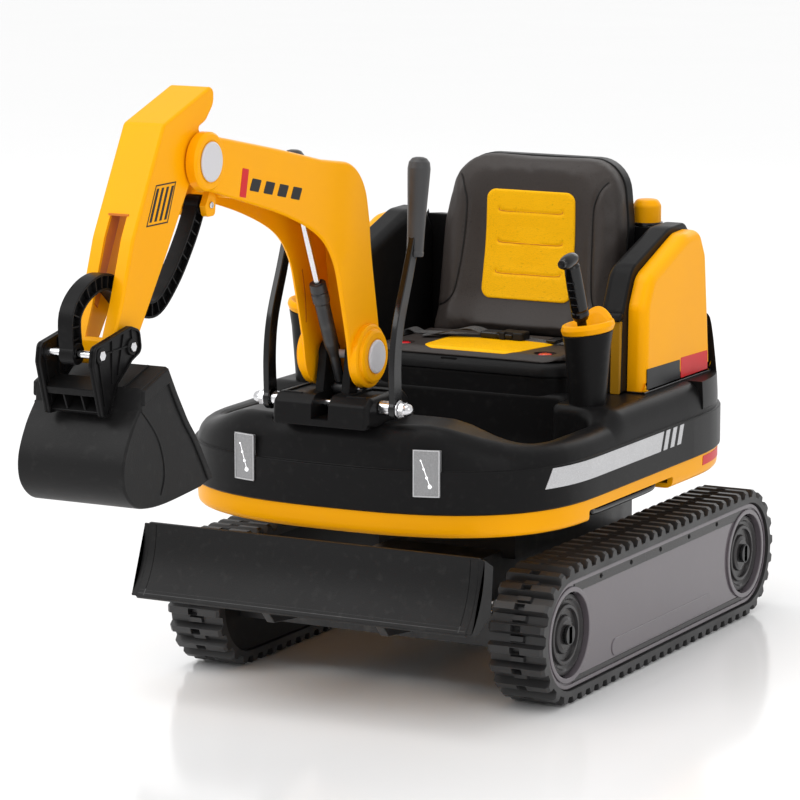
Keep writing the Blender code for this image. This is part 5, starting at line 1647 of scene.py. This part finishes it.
def make_boom_marks():
    """Plain slanted bars on the boom's sides: one red, then four dark."""
    for word, side in SIDES:
        def bar(name, y, width, low, high):
            """A slanted bar following the boom's fall towards its elbow."""
            fall = -0.205
            z = 0.7290 + (y + 0.603) * fall
            lean = 0.008
            points = [(y, z - high), (y + width, z - high + width * fall), (y + width + lean, z - low + width * fall),
                      (y + lean, z - low)]
            return slab(name, fillet(points, 0.0012, 2), "x", side * 0.0350, side * 0.03585, 0.0001, 0.0001)

        red = bar("boom_mark_red_" + word, -0.6080, 0.0150, 0.000, 0.034)
        put(red, "boom", "red_decal")
        dark = [bar("mark", -0.5840 + 0.0335 * k, 0.0215, 0.010, 0.024) for k in range(4)]
        put(gather(dark[0], *dark[1:]), "boom", "black_decal").name = "boom_marks_dark_" + word


# ---------------------------------------------------------------- arm, link, bracket and bucket

def arm_shape():
    head = [(-0.6905, 0.7865), (-0.6720, 0.7930), (-0.6530, 0.8120), (-0.6530, 0.8360), (-0.7680, 0.7975),
            (-0.8390, 0.6710), (-0.8650, 0.6000), (-0.8850, 0.5560)]
    radii = [0.003, 0.020, 0.018, 0.010, 0.010, 0.060, 0.060, 0.004]
    foot = arc(BUCKET_PIVOT, 0.0235, 196, 330, 16)
    rear = [(-0.818, 0.570), (-0.768, 0.638), (-0.7125, 0.718)]
    eye = arc(ARM_PIVOT, 0.031, 235, 425, 24)
    return fillet(head + foot + rear + eye, radii + [0] * len(foot) + [0.03, 0.03, 0.01] + [0] * len(eye), 6)


def make_arm():
    """A hollow box arm, open behind, with a long slot in its lower front."""
    arm = slab("arm_shell", arm_shape(), "x", -0.0285, 0.0285, 0.0036, 0.0036, 4)
    inside = [(-0.67, 0.786), (-0.67, 0.8245), (-0.759, 0.7935), (-0.766, 0.789), (-0.834, 0.671)]
    inside += [(-0.8585, 0.605), (-0.880, 0.556), (-0.86, 0.50), (-0.76, 0.56), (-0.60, 0.70)]
    cut(arm, plate("hollow", inside, "x", -0.0245, 0.0245))
    slot = fillet([(-0.0115, 0.560), (0.0115, 0.560), (0.0115, 0.695), (-0.0115, 0.695)], [0, 0, 0.0015, 0.0015])
    cut(arm, plate("slot", slot, "y", -0.92, -0.80))
    soften(arm, 0.0010, 2, 50)
    put(arm, "arm", "yellow", "arm")
    # painted shade: dark orange sheets inside the slot along its sides and a sill across its top, where the hollow lies
    # in shade
    shade_sheets = []
    for side in (1, -1):
        shade_sheets.append(slab("wall", [(-0.8260, 0.6940), (-0.8010, 0.6940), (-0.8540, 0.5900), (-0.8620, 0.5980)], "x",
                          side * 0.0118, side * 0.0138, 0.0004, 0.0004))
    shade_sheets.append(slab("sill", [(-0.8260, 0.6950), (-0.8010, 0.6950), (-0.8010, 0.6975), (-0.8260, 0.6975)], "x",
                      -0.0138, 0.0138, 0.0004, 0.0004))
    put(gather(shade_sheets[0], *shade_sheets[1:]), "arm", "painted_shade_orange").name = "arm_slot_shade_sheets"
    for word, side in SIDES:
        stripes = []
        for k in range(4):
            y = -0.8040 + 0.0110 * k
            stripes.append(slab("stripe", [(y, 0.6860), (y + 0.0050, 0.6860), (y + 0.0230, 0.7240), (y + 0.0180, 0.7240)],
                                "x", side * 0.0280, side * 0.02885, 0.0001, 0.0001))
        outer = [(-0.8110, 0.6815), (-0.7630, 0.6815), (-0.7430, 0.7285), (-0.7880, 0.7285)]
        frame_band = slab("border", outer, "x", side * 0.0280, side * 0.02880, 0.0001, 0.0001)
        cut(frame_band, plate("inside", inset(outer, 0.0016), "x", side * 0.02, side * 0.04))
        put(gather(stripes[0], *stripes[1:], frame_band), "arm", "black_decal", smooth=False).name = "arm_patch_" + word


def offset_path(path, distance):
    """A 2-D path moved to one side of itself."""
    half = ribbon(path, [abs(distance)] * len(path))
    n = len(path)
    return half[:n] if distance > 0 else half[n:][::-1]


def make_link():
    """The curved link: an I-section with flanges along both edges and ribs across its faces."""
    knots = [LINK_TOP, (-0.676, 0.652), (-0.716, 0.606), (-0.760, 0.578), (-0.812, 0.590), (-0.858, 0.6215),
             (-0.901, 0.618), (-0.932, 0.592), LINK_PIN]
    path = smooth_path(knots, 7)
    web = slab("link_web", ribbon(path, [0.0088] * len(path)), "x", -0.0030, 0.0030, 0.0004, 0.0004)
    parts = []
    for way in (1, -1):
        edge = offset_path(path, way * 0.0086)
        parts.append(slab("flange", ribbon(edge, [0.0014] * len(edge)), "x", -0.0097, 0.0097, 0.0005, 0.0005))
    spent = 0
    for i in range(2, len(path) - 2):
        spent += (path[i] - path[i - 1]).length
        if spent < 0.0125:
            continue
        spent = 0
        along = (path[i + 1] - path[i - 1]).normalized()
        across = Vector((-along.y, along.x))
        rib = [path[i] + across * (u * 0.0080) + along * (v * 0.0009) for u, v in ((-1, -1), (1, -1), (1, 1), (-1, 1))]
        parts.append(slab("rib", rib, "x", -0.0088, 0.0088, 0.0003, 0.0003))
    parts.append(ring_plate("eye", LINK_PIN, 0.0128, 0.0061, -0.0097, 0.0097, 0.0008))
    parts.append(rod("top_eye", "x", LINK_TOP, 0.0118, -0.0097, 0.0097, 0.0008))
    put(gather(web, *parts), "link", "black", "bucket_link")


def make_bracket_plates():
    """Two ribbed side plates with raised rims, joined by bars, that carry the bucket."""
    outline = [(-0.862, 0.5325), (-0.8405, 0.5410), (-0.8450, 0.5670), (-0.8640, 0.5735), (-0.9420, 0.5590),
               (-0.9460, 0.5380), (-0.9270, 0.4750), (-0.9130, 0.4750), (-0.8970, 0.5075), (-0.8890, 0.5130)]
    outline = fillet(outline, [0.006, 0.010, 0.010, 0.008, 0.008, 0.010, 0.005, 0.004, 0.012, 0.010], 5)
    parts = []
    for side in (1, -1):
        wall = slab("wall", outline, "x", side * 0.0345, side * 0.0380, 0.0006, 0.0006)
        rim = slab("rim", outline, "x", side * 0.0322, side * 0.0402, 0.0010, 0.0010)
        cut(rim, plate("inside", inset(outline, 0.0030), "x", side * 0.02, side * 0.05))
        parts += [wall, rim]
        for a, b in (((-0.936, 0.553), (-0.921, 0.488)), ((-0.905, 0.5625), (-0.905, 0.512)), ((-0.880, 0.566), (-0.893, 0.520)),
                     ((-0.863, 0.570), (-0.858, 0.538)), ((-0.932, 0.548), (-0.850, 0.552))):
            parts.append(slab("rib", ribbon([Vector(a), Vector(b)], [0.0010, 0.0010]), "x", side * 0.0325, side * 0.0398,
                              0.0004, 0.0004))
        for centre in (BUCKET_PIVOT, LINK_PIN):
            parts.append(rod("boss", "x", centre, 0.0098, side * 0.0315, side * 0.0408, 0.0010))
    bar = fillet([(-0.9350, 0.5080), (-0.9060, 0.5190), (-0.9035, 0.5125), (-0.9315, 0.4990)], 0.0015, 2)
    parts.append(slab("bar", bar, "x", -0.0350, 0.0350, 0.0004, 0.0004))
    low_bar = fillet([(-0.9240, 0.4800), (-0.9060, 0.4960), (-0.9030, 0.4920), (-0.9190, 0.4765)], 0.0015, 2)
    parts.append(slab("low_bar", low_bar, "x", -0.0350, 0.0350, 0.0004, 0.0004))
    for x in (-0.012, 0.012):
        parts.append(slab("stay", fillet([(-0.9330, 0.5060), (-0.9070, 0.5160), (-0.9040, 0.4930), (-0.9210, 0.4790)], 0.002, 2),
                          "x", x - 0.0012, x + 0.0012, 0.0004, 0.0004))
    put(gather(parts[0], *parts[1:]), "bucket", "black", "bucket_bracket")
    pins = []
    for centre in (BUCKET_PIVOT, LINK_PIN):
        pins.append(rod("pin", "x", centre, 0.0045, -0.0418, 0.0418, 0.0010, 24))
        for side in (1, -1):
            pins.append(rod("head", "x", centre, 0.0062, side * 0.0405, side * 0.0432, 0.0010, 6))
    put(gather(pins[0], *pins[1:]), "bucket", "chrome").name = "bracket_bolts"


def make_bucket():
    """A curved scoop with a flat box top, and a flange round the edge of each cheek."""
    spine = [(-0.898, 0.484), (-0.920, 0.458), (-0.9365, 0.424), (-0.9345, 0.394), (-0.914, 0.3725), (-0.885, 0.3650),
             (-0.840, 0.3640), (-0.765, 0.3700)]
    outer = [Vector((-0.838, 0.525)), Vector((-0.8945, 0.507))] + smooth_path(spine, 6) + [
        Vector((-0.740, 0.378)), Vector((-0.775, 0.430))]
    shell = slab("bucket_shell", outer, "x", -0.0725, 0.0725, 0.0030, 0.0030, 4)
    inner = [(-0.825, 0.519), (-0.889, 0.502), (-0.893, 0.482)] + [(y + 0.0045, z + 0.002) for y, z in spine[1:5]]
    inner += [(-0.884, 0.370), (-0.840, 0.369), (-0.765, 0.3745), (-0.73, 0.384), (-0.72, 0.45)]
    cut(shell, plate("inside", inner, "x", -0.0685, 0.0685))
    soften(shell, 0.0010, 2, 50)
    parts = []
    for side in (1, -1):
        lip = smooth_path([(-0.8400, 0.5235), (-0.8180, 0.4870), (-0.7970, 0.4560), (-0.7750, 0.4290),
                           (-0.7430, 0.3800)], 6)
        inner_lip = [Vector((p.x - 0.0075, p.y - 0.0040)) for p in lip]
        parts.append(slab("flange", lip + inner_lip[::-1], "x", side * 0.0700, side * 0.0752, 0.0012, 0.0014))
        back = smooth_path([(-0.8970, 0.4820), (-0.8760, 0.4620), (-0.8600, 0.4420), (-0.8500, 0.4180), (-0.8480, 0.3960),
                            (-0.8560, 0.3760)], 6)
        parts.append(slab("crease", ribbon(back, [0.0012] * len(back)), "x", side * 0.0718, side * 0.0738, 0.0005, 0.0008))
        ear = fillet([(-0.8950, 0.5050), (-0.8420, 0.5230), (-0.8340, 0.5080), (-0.8960, 0.4860)], 0.003, 3)
        parts.append(slab("ear", ear, "x", side * 0.0705, side * 0.0762, 0.0010, 0.0014))
    ribs = []
    for x in (-0.048, 0.048):
        top = [(-0.8950, 0.5055), (-0.8420, 0.5230), (-0.8405, 0.5262), (-0.8955, 0.5085)]
        ribs.append(slab("rib", fillet(top, 0.0008, 2), "x", x - 0.0015, x + 0.0015, 0.0004, 0.0004))
    edge = [(-0.7760, 0.3700), (-0.7395, 0.3765), (-0.7380, 0.3790), (-0.7600, 0.3768)]
    parts.append(slab("cutting_edge", fillet(edge, 0.0008, 2), "x", -0.0722, 0.0722, 0.0010, 0.0010))
    put(gather(shell, *parts, *ribs), "bucket", "matt_black", "bucket")


def along_strut(name, start, profile, segments=32):
    """A turned shape on the strut's own axis, from its foot towards its top."""
    shape = turned(name, profile, "z", (0, 0), segments)
    lean = math.atan2(STRUT_TOP[0] - STRUT_FOOT[0], STRUT_TOP[1] - STRUT_FOOT[1])
    shape.data.transform(Matrix.Translation((0, *start)) @ Matrix.Rotation(-lean, 4, "X"))
    return shape


def make_strut():
    """The boom's damper: a black tube with a collar and a flattened foot, and a bright rod."""
    mouth = math.dist(STRUT_FOOT, STRUT_LIP)
    body = soft_profile([(0, 0.010), (0.0062, 0.012), (0.0066, 0.050), (0.0096, 0.068), (0.0098, mouth - 0.030),
                         (0.0112, mouth - 0.028), (0.0112, mouth - 0.016), (0.0100, mouth - 0.014),
                         (0.0112, mouth - 0.012), (0.0106, mouth - 0.001), (0.0080, mouth), (0.0048, mouth),
                         (0.0048, mouth - 0.02), (0, mouth - 0.02)], 0.0008)
    tube_shape = along_strut("strut_cylinder", STRUT_FOOT, body, 40)
    foot = rod("foot", "x", STRUT_FOOT, 0.0086, -0.0090, 0.0090, 0.0012)
    pin = rod("pin", "x", STRUT_FOOT, 0.0039, -0.0240, 0.0240, 0.0006)
    put(gather(tube_shape, foot, pin), "strut_tube", "steel", "strut_tube")
    length = math.dist(STRUT_FOOT, STRUT_TOP)
    bright = along_strut("strut_bright_rod", STRUT_FOOT, soft_profile([(0, 0.055), (0.0042, 0.055), (0.0042, length - 0.004),
                                                                       (0, length - 0.004)], 0.0006), 28)
    eye = rod("eye", "x", STRUT_TOP, 0.0086, -0.0090, 0.0090, 0.0012)
    pin = rod("pin", "x", STRUT_TOP, 0.0040, -0.0305, 0.0305, 0.0006)
    put(gather(bright, eye, pin), "strut_rod", "chrome", "strut_rod")


# ---------------------------------------------------------------- camera, light and floor

def make_camera():
    azimuth = math.radians(28.058)
    elevation = math.radians(9.855)
    forward = Vector((-math.sin(azimuth) * math.cos(elevation), math.cos(azimuth) * math.cos(elevation),
                      -math.sin(elevation)))
    up = Vector((-math.sin(azimuth) * math.sin(elevation), math.cos(azimuth) * math.sin(elevation),
                 math.cos(elevation)))
    right = forward.cross(up)
    placing = Matrix((right, up, -forward)).transposed().to_4x4()
    placing.translation = Vector((2.461, -4.747 + MIDDLE, 1.280))
    lens = bpy.data.cameras.new("view")
    lens.lens = 180
    lens.sensor_width = 36
    lens.clip_end = 60
    camera = bpy.data.objects.new("view", lens)
    camera.matrix_world = placing
    bpy.context.scene.collection.objects.link(camera)
    bpy.context.scene.camera = camera


def lamp(name, kind, place, target, power, size=None):
    light = bpy.data.lights.new(name, kind)
    light.energy = power
    if kind == "AREA":
        light.shape = "RECTANGLE"
        light.size, light.size_y = size
    else:
        light.angle = math.radians(50)
    thing = bpy.data.objects.new(name, light)
    thing.location = place
    thing.rotation_euler = (Vector(target) - Vector(place)).to_track_quat("-Z", "Y").to_euler()
    bpy.context.scene.collection.objects.link(thing)


def make_stage():
    """A pale glossy floor that reaches past the view, and soft light from above and both sides."""
    floor = sharp_box("floor", (-40, 40), (-40, 40), (-0.02, -0.0002))
    tree = Tree("pale_floor", Specular_IOR_Level=0.55)
    stain = tree.noise(1.4, 3)
    base = tree.mix(stain, (0.968, 0.968, 0.970), (0.978, 0.978, 0.980))
    tree.bump(tree.noise(300, 2), 0.00002)
    floor.data.materials.append(tree.done(base, tree.fit(stain, 0.3, 0.7, 0.12, 0.13)))
    world = bpy.data.worlds.new("studio")
    world.use_nodes = True
    background = world.node_tree.nodes["Background"]
    background.inputs["Color"].default_value = (1, 1, 1, 1)
    background.inputs["Strength"].default_value = 0.84
    bpy.context.scene.world = world
    bpy.context.scene.view_settings.view_transform = "Standard"
    lamp("overhead", "SUN", (-1.2, -1.2, 5.0), (0, 0, 0), 1.1)
    lamp("key", "AREA", (-2.6, -3.4, 3.4), (0, 0, 0.3), 50, (2.2, 2.2))
    lamp("fill", "AREA", (3.6, -2.2, 2.4), (0, 0, 0.35), 24, (2.4, 2.4))
    lamp("back", "AREA", (0.0, 5.0, 2.6), (0, 0, 0.35), 24, (3.0, 2.0))


make_camera()
make_stage()
make_tracks()
make_chassis()
make_blade()
make_hull()
well_details()
make_tray()
make_side_stripe()
make_head_lamps()
make_pedestal()
make_covers()
make_rear_housing()
make_exhaust()
make_pods()
make_backrest()
make_cushion()
make_bracket()
make_lever_axle()
make_levers()
make_boom()
make_arm()
make_link()
make_bracket_plates()
make_bucket()
make_strut()
dress("battery", "dark_grey")
